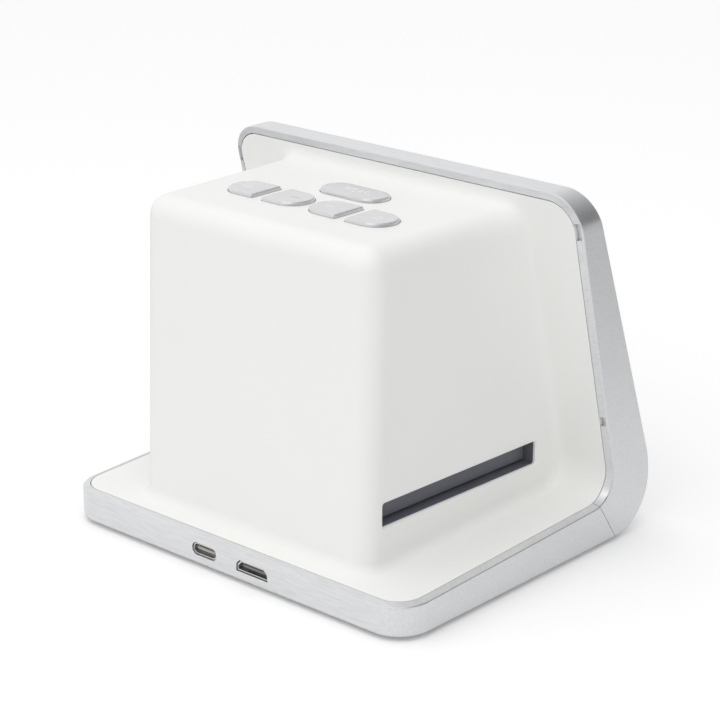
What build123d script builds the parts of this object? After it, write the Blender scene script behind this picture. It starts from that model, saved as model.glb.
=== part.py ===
from build123d import *
import os
from math import cos, pi, radians, sin, tan

# Film negative scanner with a leaning screen, a tall block behind it and a film passage
# that runs from side to side through the block. Millimetres.
# Frame: origin under the middle of the outline, on the surface that the feet stand on.
# -Y is the screen side, where the user sits, +X is at the user's right hand, +Z is up.

# ---- outside form -----------------------------------------------------------------------
WIDTH = 127.0               # over the side bands
DEPTH = 106.7               # from the front bend to the rear edge
HEIGHT = 103.3              # from the underside of the bands to the screen's level top
FOOT_H = 1.2                # how far the feet stand below the bands
REAR_H = 9.15               # height of the base plate at its rear edge
BASE_FALL = 2.1             # degrees, the base top falls towards the rear
FRONT_TILT = 19.67          # degrees, the screen leans back
BACK_TILT = 14.1            # degrees, the screen's back is steeper, so the screen is a wedge
TOP_T = 8.8                 # thickness of the screen at its level top
CHIN_R = 14.8               # front bend below its widest line
CHIN_R_UPPER = 26.6         # front bend above its widest line
BEND_R = 8.0                # hollow bend between the base top and the screen's back
CORNER_R = 10.0             # rear corners of the base and top corners of the screen
SEAM_RUN = 15.2             # from the front to where the bands' seam meets the underside
SEAM_LEAN = 34.5            # degrees, how far that seam leans back from upright

# ---- silver bands -----------------------------------------------------------------------
BAND_T = 2.1                # width of the bands' rim beside the white panel
LIP_RISE = 0.7              # how far the rim slopes up towards the white panel
LIP_ROUND = 0.35            # small round where the rim's slope meets the side
EDGE_ROUND = 0.9            # round on the bands' front and lower edges
FIT_GAP = 0.25              # panel gap between the bands and the white housing
SEAM_GAP = 0.14             # gap of the seam between the two bands
NOTCH_W = 1.5               # pry notches in the rim's inner edge
NOTCH_DEEP = 1.2
NOTCHES = [(94.6, 5.0), (37.4, 2.9)]    # middle height and length of the upper and lower ones

# ---- white housing ----------------------------------------------------------------------
SKIN_T = 2.0                # top skin and block walls
SKIRT_T = 1.8               # side walls inside the bands
SIDE_SHELF = 21.0           # base plate beside the block at its rear corners
REAR_SHELF = 8.6            # base plate behind the block's rear face
BLOCK_DROP = 6.6            # top of the block below the screen's top
PLAN_TAPER = 1.8            # degrees, each side face turns in towards the rear
SIDE_DRAFT = 0.3            # degrees, moulding draft of the side faces
REAR_DRAFT = 2.0            # degrees, moulding draft of the rear face
BLOCK_EDGE_R = 6.0          # rounds on the block's upright and top edges
ROOT_R = 3.0                # hollow round where the block grows out of the base and screen

# ---- film passage -----------------------------------------------------------------------
SLOT_FRONT_RUN = 28.4       # from the front of the outline to the slot's front end
SLOT_REAR_WALL = 7.5        # from the slot's rear end to the block's rear face
SLOT_H = 6.8
SLOT_MID_Z = 25.65
SLOT_CORNER_R = 0.8
SLOT_BEVEL = 0.4            # bevel round the slot's mouth
SLOT_LIP_T = 1.0            # the block's wall is this thin round the slot
TRAY_CLEAR = 0.2            # the passage inside is this much larger than the slot, each way
TRAY_T = 1.6                # floor and roof plates
RAIL_T = 2.0                # side rails of the tray
GATE_L = 38.0               # window over one film frame, along X
GATE_W = 27.0               # and along Y
FLAP_T = 1.0
FLAP_END_CLEAR = 0.45
FLAP_FLOOR_CLEAR = 0.3
FLAP_SINK = 2.2             # the flap's outer face lies this far inside the block's wall
FLAP_FOOT_BEVEL = 0.35
BARREL_R = 0.9              # hinge barrel along the flap's top edge
BARREL_CLEAR = 0.2
PIN_R = 0.5
PIN_CLEAR = 0.05            # running fit of the flap on its pin
PIN_SEAT_CLEAR = 0.02
SPRING_WIRE = 0.3
SPRING_TURNS = 4
FLAP_SWING = 78             # degrees each way, inwards for the film going in, outwards going out

# ---- keys on the block's top ------------------------------------------------------------
PAIR_X = 15.15              # middle of each split pair
PAIR_L = 28.1
PAIR_W = 12.2
PAIR_RUN = 26.4             # from the block's rear face forward to the pairs' middle
PAIR_SPLIT = 3.3            # gap between the two halves of a pair
PAIR_CORNER_R = 0.8         # corners at the halves' flat sides
MAIN_L = 22.2
MAIN_W = 10.5
MAIN_X = -1.4
MAIN_RUN = 15.7             # from the pairs' middle forward to the main key's middle
KEY_H = 0.95                # how far the keys stand proud
KEY_BEVEL = 0.38
KEY_DRAFT = 8.0             # degrees
KEY_GAP = 0.2               # gap round a key in its opening
KEY_TRAVEL = 0.6
FLANGE_W = 1.0              # retaining flange under the skin
FLANGE_T = 0.8
FLANGE_GAP = 0.1
STEM_R = 2.0
STEM_L = 1.4
PLUNGER_R = 1.75
PLUNGER_PROUD = 0.35        # plunger left proud of its switch at full travel
PLUNGER_IN = 1.2            # how deep the plunger sits in its switch at rest
PLUNGER_CLEAR = 0.08
SWITCH_W = 6.0
SWITCH_H = 3.4
KEY_BOARD_MARGIN = 7.5      # from the block's outer width in to the key board's ends
KEY_BOARD_W = 37.0
KEY_BOARD_RUN = 7.35        # from the pairs' middle forward to the key board's middle
KEY_BOARD_T = 1.2
KEY_BOSS_INSET = 3.5
KEY_BOSS_Y = 14.5           # from the key board's middle
BOSS_R = 2.6

# ---- screen -----------------------------------------------------------------------------
GLASS_T = 1.3
GLASS_GAP = 0.15
GLASS_LOW = 1.0             # lower edge of the glass above the top of the front bend
GLASS_CORNER_R = 2.5        # its two lower corners
GASKET_T = 0.4
GASKET_W = 1.7
LCD_SIDE_MARGIN = 2.45      # the panel is this much smaller than the glass on each side
LCD_END_MARGIN = 8.3        # and this much at its upper and lower edges
LCD_T = 2.0
BRACKET_T = 0.8
BRACKET_MARGIN = 6.0        # the bracket stands out above and below the panel
LCD_SCREW_INSET = 8.8

# ---- underside --------------------------------------------------------------------------
COVER_T = 1.5
COVER_GAP = 0.2
FOOT_R = 5.5
FOOT_SINK = 0.6             # the feet sit in shallow round recesses
FOOT_INSET_X = 16.0
FOOT_INSET_REAR = 17.0
FOOT_INSET_FRONT = 25.0
SCREW_INSET_X = 10.5        # the bottom screws' distances from the outline
SCREW_INSET_REAR = 8.55
SCREW_INSET_FRONT = 39.35
SCREW_R = 1.0
SCREW_HEAD_R = 1.9
SCREW_HEAD_H = 1.2
SCREW_CLEAR = 0.05
SCREW_SINK = 0.8            # the bottom screws' heads sit in counterbores
BOTTOM_HEAD_H = 0.7
BOTTOM_SCREW_L = 4.5

# ---- main board and its sockets ---------------------------------------------------------
BOARD_T = 1.0
BOARD_LIFT = 0.4            # pads on the bottom cover
BOARD_INSET_LEFT = 17.5     # the board's distances from the outline
BOARD_INSET_RIGHT = 6.5
BOARD_RUN = 29.35           # from the rear edge forward to its front edge
BOARD_WALL_GAP = 0.4
WING_W = 29.0               # the wing under the card socket reaches further forward
WING_MARGIN = 13.5          # from the card socket's middle
USB_X = 8.2
USB_W = 8.94
USB_H = 3.26
USB_L = 7.4
HDMI_X = -9.9
HDMI_W = 11.2
HDMI_H = 2.9
HDMI_L = 7.0
HDMI_CUT = 1.22             # the two upper corners are cut away by this much
TONGUE_T = 0.7              # contact tongues in the sockets
TONGUE_SINK = 0.6           # behind the shells' mouths
USB_TONGUE_W = 6.7
HDMI_TONGUE_W = 8.1
INSULATOR_SINK = 1.8        # face of the tongues' foot behind the shells' mouths
SHELL_T = 0.3
PORT_GAP = 0.25             # gap round a socket's shell in the rear edge
PORT_SINK = 0.35            # the shells end this far inside the band's face
CARD_RUN = 24.35            # from the rear edge forward to the card socket's middle
CARD_W = 25.0
CARD_L = 27.0
CARD_H = 2.9
CARD_SLOT_W = 24.4
CARD_SLOT_H = 2.3

# ---- light and camera -------------------------------------------------------------------
LIGHT_BOX_L = 46.0
LIGHT_BOX_W = 32.0
LIGHT_BOX_T = 1.4
LIGHT_FOOT = 2.0            # the backlight board sits this far above the light box's foot
LED_BOARD_T = 1.0
LED_W = 3.5
LED_H = 0.8
LED_ROWS = 3
LED_COLUMNS = 4
TOWER_BASE_L = 46.0
TOWER_BASE_W = 36.0
TOWER_TOP = 27.0
TOWER_H = 26.0
TOWER_T = 1.8
POST_H = 9.0
POST_R = 2.3
SENSOR_BOARD_W = 30.0
SENSOR_BOARD_T = 1.2
HOLDER_W = 16.0
HOLDER_GAP = 1.0
BARREL_LENS_R = 6.0
BARREL_LENS_L = 15.0
BARREL_BORE_R = 4.32
LENS_FIT = 0.03
CHIP_W = 8.0
CHIP_T = 1.0
FLEX_T = 0.3                # flat flexible cables
FLEX_W = 12.0
FLEX_BEND = 1.5
LCD_FLEX_X = -30.5
CAMERA_FLEX_X = -3.5
KEY_FLEX_X = 12.0
REAR_FLEX_RUN = 16.35       # from the rear edge forward to the two rear cables' connectors
PLUG_W = 3.5                # their connectors on the main board
PLUG_H = 2.0
# processor, memory, coils and regulators: middle x, distance from the rear edge, length, width, height
CHIPS = [(-31.0, 16.35, 10.0, 10.0, 1.2), (-18.0, 20.35, 8.0, 11.0, 1.0), (-2.0, 24.35, 5.0, 5.0, 2.2),
         (6.0, 24.35, 4.0, 4.0, 2.0), (14.0, 23.85, 6.0, 8.0, 1.0), (23.0, 23.35, 3.0, 3.0, 1.0)]

# ---- derived places ---------------------------------------------------------------------
FOOT_ALIGN = (Align.CENTER, Align.CENTER, Align.MIN)
HEAD_ALIGN = (Align.CENTER, Align.CENTER, Align.MAX)
Z0 = FOOT_H                                     # underside of the bands
REAR_Y = DEPTH / 2
FRONT_Y = -DEPTH / 2
HALF_W = WIDTH / 2
TOP_Z = Z0 + HEIGHT
SEAM_FRONT_Y = FRONT_Y + SEAM_RUN
BLOCK_REAR_W = WIDTH - 2 * SIDE_SHELF
BLOCK_REAR_Y = REAR_Y - REAR_SHELF
CHIN_Z = Z0 + CHIN_R                            # height of the front-most line
TAN_FRONT = tan(radians(FRONT_TILT))
TAN_BACK = tan(radians(BACK_TILT))
TAN_BASE = tan(radians(BASE_FALL))
# top of the front bend, where the flat front of the screen begins
FLAT_Y = FRONT_Y + CHIN_R_UPPER * (1 - cos(radians(FRONT_TILT)))
FLAT_Z = CHIN_Z + CHIN_R_UPPER * sin(radians(FRONT_TILT))
SCREEN_L = (TOP_Z - FLAT_Z) / cos(radians(FRONT_TILT))
# plane of the flat front: local x across, local y up the screen, local z out of the glass
SCREEN = Plane(origin=(0, FLAT_Y, FLAT_Z), x_dir=(1, 0, 0),
               z_dir=(0, -cos(radians(FRONT_TILT)), sin(radians(FRONT_TILT))))
HOUSING_FRONT = GLASS_T + GASKET_T              # the housing's open front lies this deep
CHIN_T = HOUSING_FRONT - FIT_GAP
HOUSING_SIDE = BAND_T + FIT_GAP                 # and its sides this far inside the bands
BLOCK_TOP_Z = TOP_Z - BLOCK_DROP
COVER_TOP_Z = Z0 + COVER_T
BOARD_Z = COVER_TOP_Z + BOARD_LIFT
BOARD_TOP_Z = BOARD_Z + BOARD_T
SLOT_L = DEPTH - SLOT_FRONT_RUN - SLOT_REAR_WALL - REAR_SHELF
SLOT_MID_Y = BLOCK_REAR_Y - SLOT_REAR_WALL - SLOT_L / 2
SLOT_LOW_Z = SLOT_MID_Z - SLOT_H / 2
SLOT_HIGH_Z = SLOT_MID_Z + SLOT_H / 2
TRAY_LOW_Z = SLOT_LOW_Z - TRAY_CLEAR - TRAY_T
TRAY_HIGH_Z = SLOT_HIGH_Z + TRAY_CLEAR
ROOF_TOP_Z = TRAY_HIGH_Z + TRAY_T
PASSAGE_HALF = SLOT_L / 2 + TRAY_CLEAR
TRAY_HALF = PASSAGE_HALF + RAIL_T
PAIR_Y = BLOCK_REAR_Y - PAIR_RUN
MAIN_Y = PAIR_Y - MAIN_RUN
KEY_BOARD_Y = PAIR_Y - KEY_BOARD_RUN
KEY_BOARD_L = BLOCK_REAR_W - 2 * KEY_BOARD_MARGIN
KEY_BOSS_X = KEY_BOARD_L / 2 - KEY_BOSS_INSET
FLANGE_TOP_Z = BLOCK_TOP_Z - SKIN_T - FLANGE_GAP
STEM_LOW_Z = FLANGE_TOP_Z - FLANGE_T - STEM_L
SWITCH_TOP_Z = STEM_LOW_Z - KEY_TRAVEL - PLUNGER_PROUD
KEY_BOARD_TOP_Z = SWITCH_TOP_Z - SWITCH_H
SENSOR_Z = ROOF_TOP_Z + TOWER_H + POST_H        # underside of the sensor board
BARREL_TOP_Z = SENSOR_Z - CHIP_T - HOLDER_GAP
BARREL_LOW_Z = BARREL_TOP_Z - BARREL_LENS_L
BRACKET_BACK = GLASS_T + LCD_T + BRACKET_T      # depth of the bracket's back behind the glass face
LCD_L = WIDTH - 2 * (BAND_T + GLASS_GAP + LCD_SIDE_MARGIN)
LCD_W = SCREEN_L - BAND_T - GLASS_GAP - GLASS_LOW - 2 * LCD_END_MARGIN
LCD_SCREW_X = LCD_L / 2 - LCD_SCREW_INSET
BOTTOM_SCREW_X = HALF_W - SCREW_INSET_X
BOTTOM_SCREW_REAR_Y = REAR_Y - SCREW_INSET_REAR
BOTTOM_SCREW_FRONT_Y = FRONT_Y + SCREW_INSET_FRONT
BOARD_LEFT_X = -HALF_W + BOARD_INSET_LEFT
BOARD_RIGHT_X = HALF_W - BOARD_INSET_RIGHT
BOARD_FRONT_Y = REAR_Y - BOARD_RUN
WING_X = BOARD_RIGHT_X - WING_W
CARD_Y = REAR_Y - CARD_RUN
WING_FRONT_Y = CARD_Y - WING_MARGIN
LCD_FLEX_Y = BOARD_FRONT_Y + PLUG_W
REAR_FLEX_Y = REAR_Y - REAR_FLEX_RUN
USB_Z = BOARD_TOP_Z + USB_H / 2
HDMI_Z = BOARD_TOP_Z + HDMI_H / 2
CARD_Z = BOARD_TOP_Z + CARD_H / 2
# in a slot wall's frame: the hinge axis lies inside the wall and below the slot's top
HINGE_DEEP = BARREL_R + FLAP_SINK
HINGE_UP = SLOT_H / 2 - BARREL_R - BARREL_CLEAR
FLAP_HALF = SLOT_L / 2 - FLAP_END_CLEAR
FLAP_FOOT = -SLOT_H / 2 + FLAP_FLOOR_CLEAR


def front_y(z):
    """Y of the flat front at height z."""
    return FLAT_Y + (z - FLAT_Z) * TAN_FRONT


def back_y(z, inset=0.0):
    """Y of the screen's back at height z, moved inwards square to it by inset."""
    return front_y(TOP_Z) + TOP_T - (TOP_Z - z) * TAN_BACK - inset / cos(radians(BACK_TILT))


def base_z(y, inset=0.0):
    """Height of the base plate's top at y, moved inwards square to it by inset."""
    return Z0 + REAR_H + (REAR_Y - y) * TAN_BASE - inset / cos(radians(BASE_FALL))


def bend_points(inset):
    """Start, middle and end of the hollow bend, from the screen's back to the base top."""
    radius = BEND_R + inset
    # corner of the two lines
    back_0, base_0 = back_y(0, inset), base_z(0, inset)
    corner_z = (base_0 - back_0 * TAN_BASE) / (1 + TAN_BACK * TAN_BASE)
    corner = Vector(0, back_0 + corner_z * TAN_BACK, corner_z)
    up = Vector(0, sin(radians(BACK_TILT)), cos(radians(BACK_TILT)))
    rear = Vector(0, cos(radians(BASE_FALL)), -sin(radians(BASE_FALL)))
    half = radians(90 - BACK_TILT + BASE_FALL) / 2
    run = radius / tan(half)
    middle = corner + (up + rear).normalized() * (radius / sin(half) - radius)
    return corner + up * run, middle, corner + rear * run


def top_corner(inset_top, inset_back):
    """Point of the level top where it meets the screen's back, the two moved inwards."""
    height = TOP_Z - inset_top
    return Vector(0, back_y(height, inset_back), height)


def side_outline(front, top, rear, skin):
    """Side outline of the bent plate as a face in the YZ plane, each edge moved inwards.

    front moves the flat front, the bend and the underside together."""
    lean = radians(FRONT_TILT)
    up = Vector(0, sin(lean), cos(lean))
    into = Vector(0, cos(lean), -sin(lean))
    low_mid = Vector(0, FRONT_Y + CHIN_R, CHIN_Z)
    high_mid = Vector(0, FRONT_Y + CHIN_R_UPPER, CHIN_Z)
    low_r, high_r = CHIN_R - front, CHIN_R_UPPER - front
    under = low_mid - Vector(0, 0, low_r)
    widest = low_mid - Vector(0, low_r, 0)
    flat = high_mid - into * high_r
    half_low = low_mid - Vector(0, low_r, low_r) * sin(pi / 4)
    half_high = high_mid + Vector(0, -cos(lean / 2), sin(lean / 2)) * high_r
    top_front = flat + up * ((TOP_Z - top - flat.Z) / cos(lean))
    top_back = top_corner(top, skin)
    bend_high, bend_mid, bend_low = bend_points(skin)
    rear_high = Vector(0, REAR_Y - rear, base_z(REAR_Y - rear, skin))
    rear_low = Vector(0, REAR_Y - rear, Z0 + front)
    return make_face([
        ThreePointArc(under, half_low, widest),
        ThreePointArc(widest, half_high, flat),
        Line(flat, top_front),
        Line(top_front, top_back),
        Line(top_back, bend_high),
        ThreePointArc(bend_high, bend_mid, bend_low),
        Line(bend_low, rear_high),
        Line(rear_high, rear_low),
        Line(rear_low, under),
    ])


def across(face, half_width):
    """Push a YZ face out to both sides."""
    return Pos(-half_width, 0, 0) * extrude(face, amount=2 * half_width, dir=(1, 0, 0))


def corner_edges(solid, half_width):
    """The four short edges at the base's rear corners and the screen's top corners."""
    found = []
    for edge in solid.edges():
        if edge.geom_type != GeomType.LINE or abs(abs(edge.center().X) - half_width) > 1e-4:
            continue
        way = edge % 0.5
        upright = abs(way.Z) > 0.999 and edge.center().Y > 0
        along_top = abs(way.Y) > 0.999 and edge.center().Z > TOP_Z / 2
        if upright or along_top:
            found.append(edge)
    return ShapeList(found)


def bent_plate(side, front, top, rear, skin, corner_r):
    """The bent plate with all its faces moved inwards and its four corners rounded."""
    plate = across(side_outline(front, top, rear, skin), HALF_W - side)
    return fillet(corner_edges(plate, HALF_W - side), corner_r)


def disc(x, y, low, high, radius):
    """Upright cylinder between two heights."""
    return Pos(x, y, low) * Cylinder(radius, high - low, align=FOOT_ALIGN)


def slab(x0, x1, y0, y1, z0, z1):
    """Box between two corners."""
    return Pos(x0, y0, z0) * Box(x1 - x0, y1 - y0, z1 - z0, align=(Align.MIN, Align.MIN, Align.MIN))


def seam_plane(shift):
    """Slanting plane of the seam, moved rearwards by shift; its normal points rearwards."""
    lean = radians(SEAM_LEAN)
    normal = Vector(0, cos(lean), -sin(lean))
    return Plane(origin=Vector(0, SEAM_FRONT_Y, Z0) + normal * shift, x_dir=(1, 0, 0), z_dir=normal)


def on_screen(x, up, depth=0.0):
    """Place on the flat front: x across, up the screen, depth behind the glass face."""
    return SCREEN * Pos(x, up, -depth)


def edge_at(solid, point, reach=0.05):
    """The edge whose middle is at a known point."""
    nearest = min(solid.edges(), key=lambda edge: ((edge @ 0.5) - point).length)
    if ((nearest @ 0.5) - point).length > reach:
        raise ValueError("no edge at " + str(point))
    return nearest


# ---- outer form and the two silver bands ------------------------------------------------
def make_outer():
    """The whole bent form, its rim sloped all round the white panel, its edges eased."""
    outer = bent_plate(0, 0, 0, 0, 0, CORNER_R)
    # every edge of the rim follows on from this one without a corner
    rim = edge_at(outer, top_corner(0, 0))
    back = max(outer.faces().filter_by(GeomType.PLANE),
               key=lambda face: face.area if face.normal_at(face.center()).Y > 0.9 else 0)
    outer = chamfer(rim, BAND_T, LIP_RISE, reference=back)
    outer = fillet(edge_at(outer, top_corner(0, LIP_RISE)), LIP_ROUND)
    return fillet(edge_at(outer, Vector(0, front_y(TOP_Z), TOP_Z)), EDGE_ROUND)


def glass_outline(grow):
    """Outline of the glass on the flat front, grown all round."""
    half = HALF_W - BAND_T - GLASS_GAP + grow
    low = GLASS_LOW - grow
    high = SCREEN_L - BAND_T - GLASS_GAP + grow
    outline = Pos(0, (low + high) / 2) * Rectangle(2 * half, high - low)
    upper = outline.vertices().group_by(Axis.Y)[-1]
    outline = fillet(upper, CORNER_R - BAND_T - GLASS_GAP + grow)
    lower = outline.vertices().group_by(Axis.Y)[0]
    return fillet(lower, GLASS_CORNER_R + grow)


def make_bands(outer):
    """Split the outer form along its seam and hollow each half to a band."""
    ahead = split(outer, bisect_by=seam_plane(-SEAM_GAP / 2), keep=Keep.BOTTOM)
    behind = split(outer, bisect_by=seam_plane(SEAM_GAP / 2), keep=Keep.TOP)
    room = bent_plate(BAND_T, CHIN_T, BAND_T, -CORNER_R, -BEND_R / 2, CORNER_R - BAND_T)
    window = extrude(SCREEN * glass_outline(GLASS_GAP), amount=-2 * HOUSING_FRONT, both=False)
    ahead = ahead - room - window - notches()
    inside = slab(-HALF_W + BAND_T, HALF_W - BAND_T, FRONT_Y, REAR_Y - BAND_T, -FOOT_H, TOP_Z)
    behind = behind - fillet(inside.edges().filter_by(Axis.Z).group_by(Axis.Y)[-1], CORNER_R - BAND_T)
    behind = behind - usb_hole(PORT_GAP) - hdmi_hole(PORT_GAP) - card_hole(FIT_GAP / 2)
    return ahead, behind


def notches():
    """Four shallow notches in the rim's inner edge beside the screen's back."""
    cuts = []
    for height, length in NOTCHES:
        for side in (-1, 1):
            place = Pos(side * (HALF_W - BAND_T), back_y(height), height)
            cuts.append(place * Rot(-BACK_TILT, 0, 0) * Box(2 * NOTCH_W, 2 * NOTCH_DEEP, length))
    return cuts


# ---- the white housing ------------------------------------------------------------------
def block_half(y, z, inset=0.0):
    """Half width of the block at a place, moved inwards by inset."""
    at_rear = BLOCK_REAR_W / 2 - inset - (z - Z0) * tan(radians(SIDE_DRAFT))
    return at_rear + (block_rear(z, inset) - y) * tan(radians(PLAN_TAPER))


def block_rear(z, inset=0.0):
    """Y of the block's rear face at height z."""
    return BLOCK_REAR_Y - inset - (z - Z0) * tan(radians(REAR_DRAFT))


def block_body(low, high, inset, bury):
    """Tapered block between two heights; its front is buried in the screen by bury."""
    rings = []
    for z in (low, high):
        front, rear = back_y(z) - bury, block_rear(z, inset)
        wide, narrow = block_half(front, z, inset), block_half(rear, z, inset)
        corners = [(-narrow, rear), (narrow, rear), (wide, front), (-wide, front)]
        rings.append(Pos(0, 0, z) * make_face(Polyline(corners, close=True)))
    return loft(rings, ruled=True)


def rounded_block(low, high, inset, bury, radius):
    """The block with its two rear upright edges and its top edges rounded."""
    body = block_body(low, high, inset, bury)
    rear_high = Vector(0, block_rear(high, inset), high)
    edges = [edge_at(body, rear_high)]
    for edge in body.edges():
        middle = edge @ 0.5
        upright = abs((edge % 0.5).Z) > 0.9 and middle.Y > 0
        top_side = abs(middle.Z - high) < 1e-4 and abs(middle.X) > 1
        if upright or top_side:
            edges.append(edge)
    return fillet(ShapeList(edges), radius)


def make_housing():
    """White one-piece moulding: base top, screen back and block, blended together."""
    radius = CORNER_R - HOUSING_SIDE
    plate = bent_plate(HOUSING_SIDE, HOUSING_FRONT, HOUSING_SIDE, HOUSING_SIDE, 0, radius)
    bury = SKIN_T + 2 * SKIRT_T
    block = rounded_block(Z0 + REAR_H / 2, BLOCK_TOP_Z, 0, SKIN_T, BLOCK_EDGE_R)
    solid = plate + block
    root = new_edges(plate, block, combined=solid)
    solid = fillet(root, ROOT_R)
    outside = solid
    side = HOUSING_SIDE + SKIRT_T
    room = bent_plate(side, -CHIN_R / 2, side, side, SKIN_T, radius - SKIRT_T)
    hollow = rounded_block(-FOOT_H, BLOCK_TOP_Z - SKIN_T, SKIN_T, bury, BLOCK_EDGE_R - SKIN_T)
    solid = solid - room - hollow
    solid = solid + [boss & outside for boss in housing_bosses()]
    solid = solid - film_slots() - key_openings() - boss_holes()
    return solid - usb_hole(PORT_GAP) - hdmi_hole(PORT_GAP) - card_hole(FIT_GAP / 2)


def film_slots():
    """The slot right through both walls, its bevelled mouths and the pocket behind its lips."""
    outline = Plane.YZ * Pos(SLOT_MID_Y, SLOT_MID_Z) * RectangleRounded(SLOT_L, SLOT_H, SLOT_CORNER_R)
    cuts = [across(outline, HALF_W - HOUSING_SIDE)]
    for side in (-1, 1):
        # the bevel starts clear of the wall, so it is cut twice as deep as it shows
        start = wall_frame(side) * Pos(0, 0, SKIN_T + SLOT_BEVEL) * Rot(180, 0, 0)
        deep = 2 * SLOT_BEVEL
        mouth = RectangleRounded(SLOT_L + 2 * deep, SLOT_H + 2 * deep, SLOT_CORNER_R + deep)
        cuts.append(start * extrude(mouth, amount=deep, taper=45))
    grow = TRAY_HALF + FIT_GAP
    around = slab(-HALF_W, HALF_W, SLOT_MID_Y - grow, SLOT_MID_Y + grow,
                  TRAY_LOW_Z - FIT_GAP, ROOF_TOP_Z + FIT_GAP)
    cuts.append(around & wall_space(SLOT_LIP_T))
    return cuts


def key_places():
    """Name and outline maker of each key, from the user's right."""
    return [
        ("right_outer", lambda grow: half_pill(1, True, grow)),
        ("right_inner", lambda grow: half_pill(1, False, grow)),
        ("left_inner", lambda grow: half_pill(-1, False, grow)),
        ("left_outer", lambda grow: half_pill(-1, True, grow)),
        ("main", lambda grow: Pos(MAIN_X, MAIN_Y) * pill(MAIN_L, MAIN_W, grow)),
    ]


def pill(length, width, grow):
    """Long rounded outline, grown all round."""
    return SlotOverall(length + 2 * grow, width + 2 * grow)


def half_pill(side, outer, grow, grow_flat=None):
    """One half of a split pair; its flat side grows by grow_flat."""
    flat = grow if grow_flat is None else grow_flat
    length = PAIR_L + 2 * grow
    keep = length / 2 - PAIR_SPLIT / 2 - grow + flat
    away = side if outer else -side
    window = Pos(away * (PAIR_SPLIT / 2 - flat + length / 2), 0) * Rectangle(length, PAIR_W * 2)
    half = pill(PAIR_L, PAIR_W, grow) & window
    corners = half.vertices().group_by(Axis.X)[0 if away > 0 else -1]
    return Pos(side * PAIR_X, PAIR_Y) * fillet(corners, PAIR_CORNER_R + grow)


def key_centre(name):
    """Middle of a key's stem."""
    if name == "main":
        return MAIN_X, MAIN_Y
    side = 1 if name.startswith("right") else -1
    away = side if name.endswith("outer") else -side
    return side * PAIR_X + away * (PAIR_SPLIT / 2 + PAIR_L / 2) / 2, PAIR_Y


def key_openings():
    """Openings in the block's top, one for each key."""
    cuts = []
    for name, outline in key_places():
        cuts.append(Pos(0, 0, BLOCK_TOP_Z - 2 * SKIN_T) * extrude(outline(KEY_GAP), amount=4 * SKIN_T))
    return cuts


def key_boss_places():
    return [(sx * KEY_BOSS_X, KEY_BOARD_Y + sy * KEY_BOSS_Y) for sx in (-1, 1) for sy in (-1, 1)]


def bottom_screw_places():
    return [(sx * BOTTOM_SCREW_X, y) for sx in (-1, 1) for y in (BOTTOM_SCREW_FRONT_Y, BOTTOM_SCREW_REAR_Y)]


def lcd_middle():
    """How far up the flat front the middle of the glass lies."""
    return (GLASS_LOW + SCREEN_L - BAND_T - GLASS_GAP) / 2


def lcd_screw_places():
    reach = LCD_W / 2 + BRACKET_MARGIN / 2
    return [(sx * LCD_SCREW_X, lcd_middle() + sy * reach) for sx in (-1, 1) for sy in (-1, 1)]


def housing_bosses():
    """Screw bosses under the base top, behind the screen and under the block's top."""
    bosses = [disc(x, y, COVER_TOP_Z, BEND_R * 2, BOSS_R) for x, y in bottom_screw_places()]
    bosses += [disc(x, y, KEY_BOARD_TOP_Z, BLOCK_TOP_Z, BOSS_R) for x, y in key_boss_places()]
    for x, up in lcd_screw_places():
        post = Cylinder(BOSS_R, 4 * BEND_R, align=HEAD_ALIGN)
        bosses.append(on_screen(x, up, BRACKET_BACK) * post)
    return bosses


def boss_holes():
    """Pilot holes for the screws in the bosses."""
    pilot = SCREW_R + SCREW_CLEAR
    holes = [disc(x, y, 0, COVER_TOP_Z + 4 * SCREW_R, pilot) for x, y in bottom_screw_places()]
    holes += [disc(x, y, 0, KEY_BOARD_TOP_Z + 4 * SCREW_R, pilot) for x, y in key_boss_places()]
    for x, up in lcd_screw_places():
        hole = Cylinder(pilot, 2 * SCREW_R, align=HEAD_ALIGN)
        holes.append(on_screen(x, up, BRACKET_BACK) * hole)
    return holes


# ---- sockets in the rear edge and the side ----------------------------------------------
def rear_prism(outline, x, z, front, rear):
    """Outline in the XZ plane pushed from one Y to another."""
    return Pos(x, front, z) * extrude(Plane.XZ * outline, amount=-(rear - front))


def usb_outline(grow):
    height = USB_H + 2 * grow
    return SlotOverall(USB_W + 2 * grow, height)


def hdmi_outline(grow):
    """Wide socket whose two upper corners are cut away."""
    half, high, cut = HDMI_W / 2 + grow, HDMI_H / 2 + grow, HDMI_CUT
    points = [(-half, -high), (half, -high), (half, high - cut), (half - cut, high),
              (-half + cut, high), (-half, high - cut)]
    return make_face(Polyline(points, close=True))


def usb_hole(grow):
    return rear_prism(usb_outline(grow), USB_X, USB_Z, REAR_Y - 2 * CORNER_R, REAR_Y + BAND_T)


def hdmi_hole(grow):
    return rear_prism(hdmi_outline(grow), HDMI_X, HDMI_Z, REAR_Y - 2 * CORNER_R, REAR_Y + BAND_T)


def card_hole(grow):
    half_w, half_h = CARD_SLOT_W / 2 + grow, CARD_SLOT_H / 2 + grow
    inner = HALF_W - HOUSING_SIDE - 2 * SKIRT_T
    return slab(inner, HALF_W + BAND_T, CARD_Y - half_w, CARD_Y + half_w, CARD_Z - half_h, CARD_Z + half_h)


# ---- film passage -----------------------------------------------------------------------
def wall_frame(side):
    """Plane on the inner face of a slot wall: local x along the wall, local y up, z outwards."""
    lean = radians(PLAN_TAPER)
    inner = block_half(SLOT_MID_Y, SLOT_MID_Z, SKIN_T)
    return Plane(origin=(side * inner, SLOT_MID_Y, SLOT_MID_Z),
                 x_dir=(-side * sin(lean), cos(lean), 0) if side > 0 else (-sin(lean), -cos(lean), 0),
                 z_dir=(side * cos(lean), sin(lean), 0))


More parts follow.
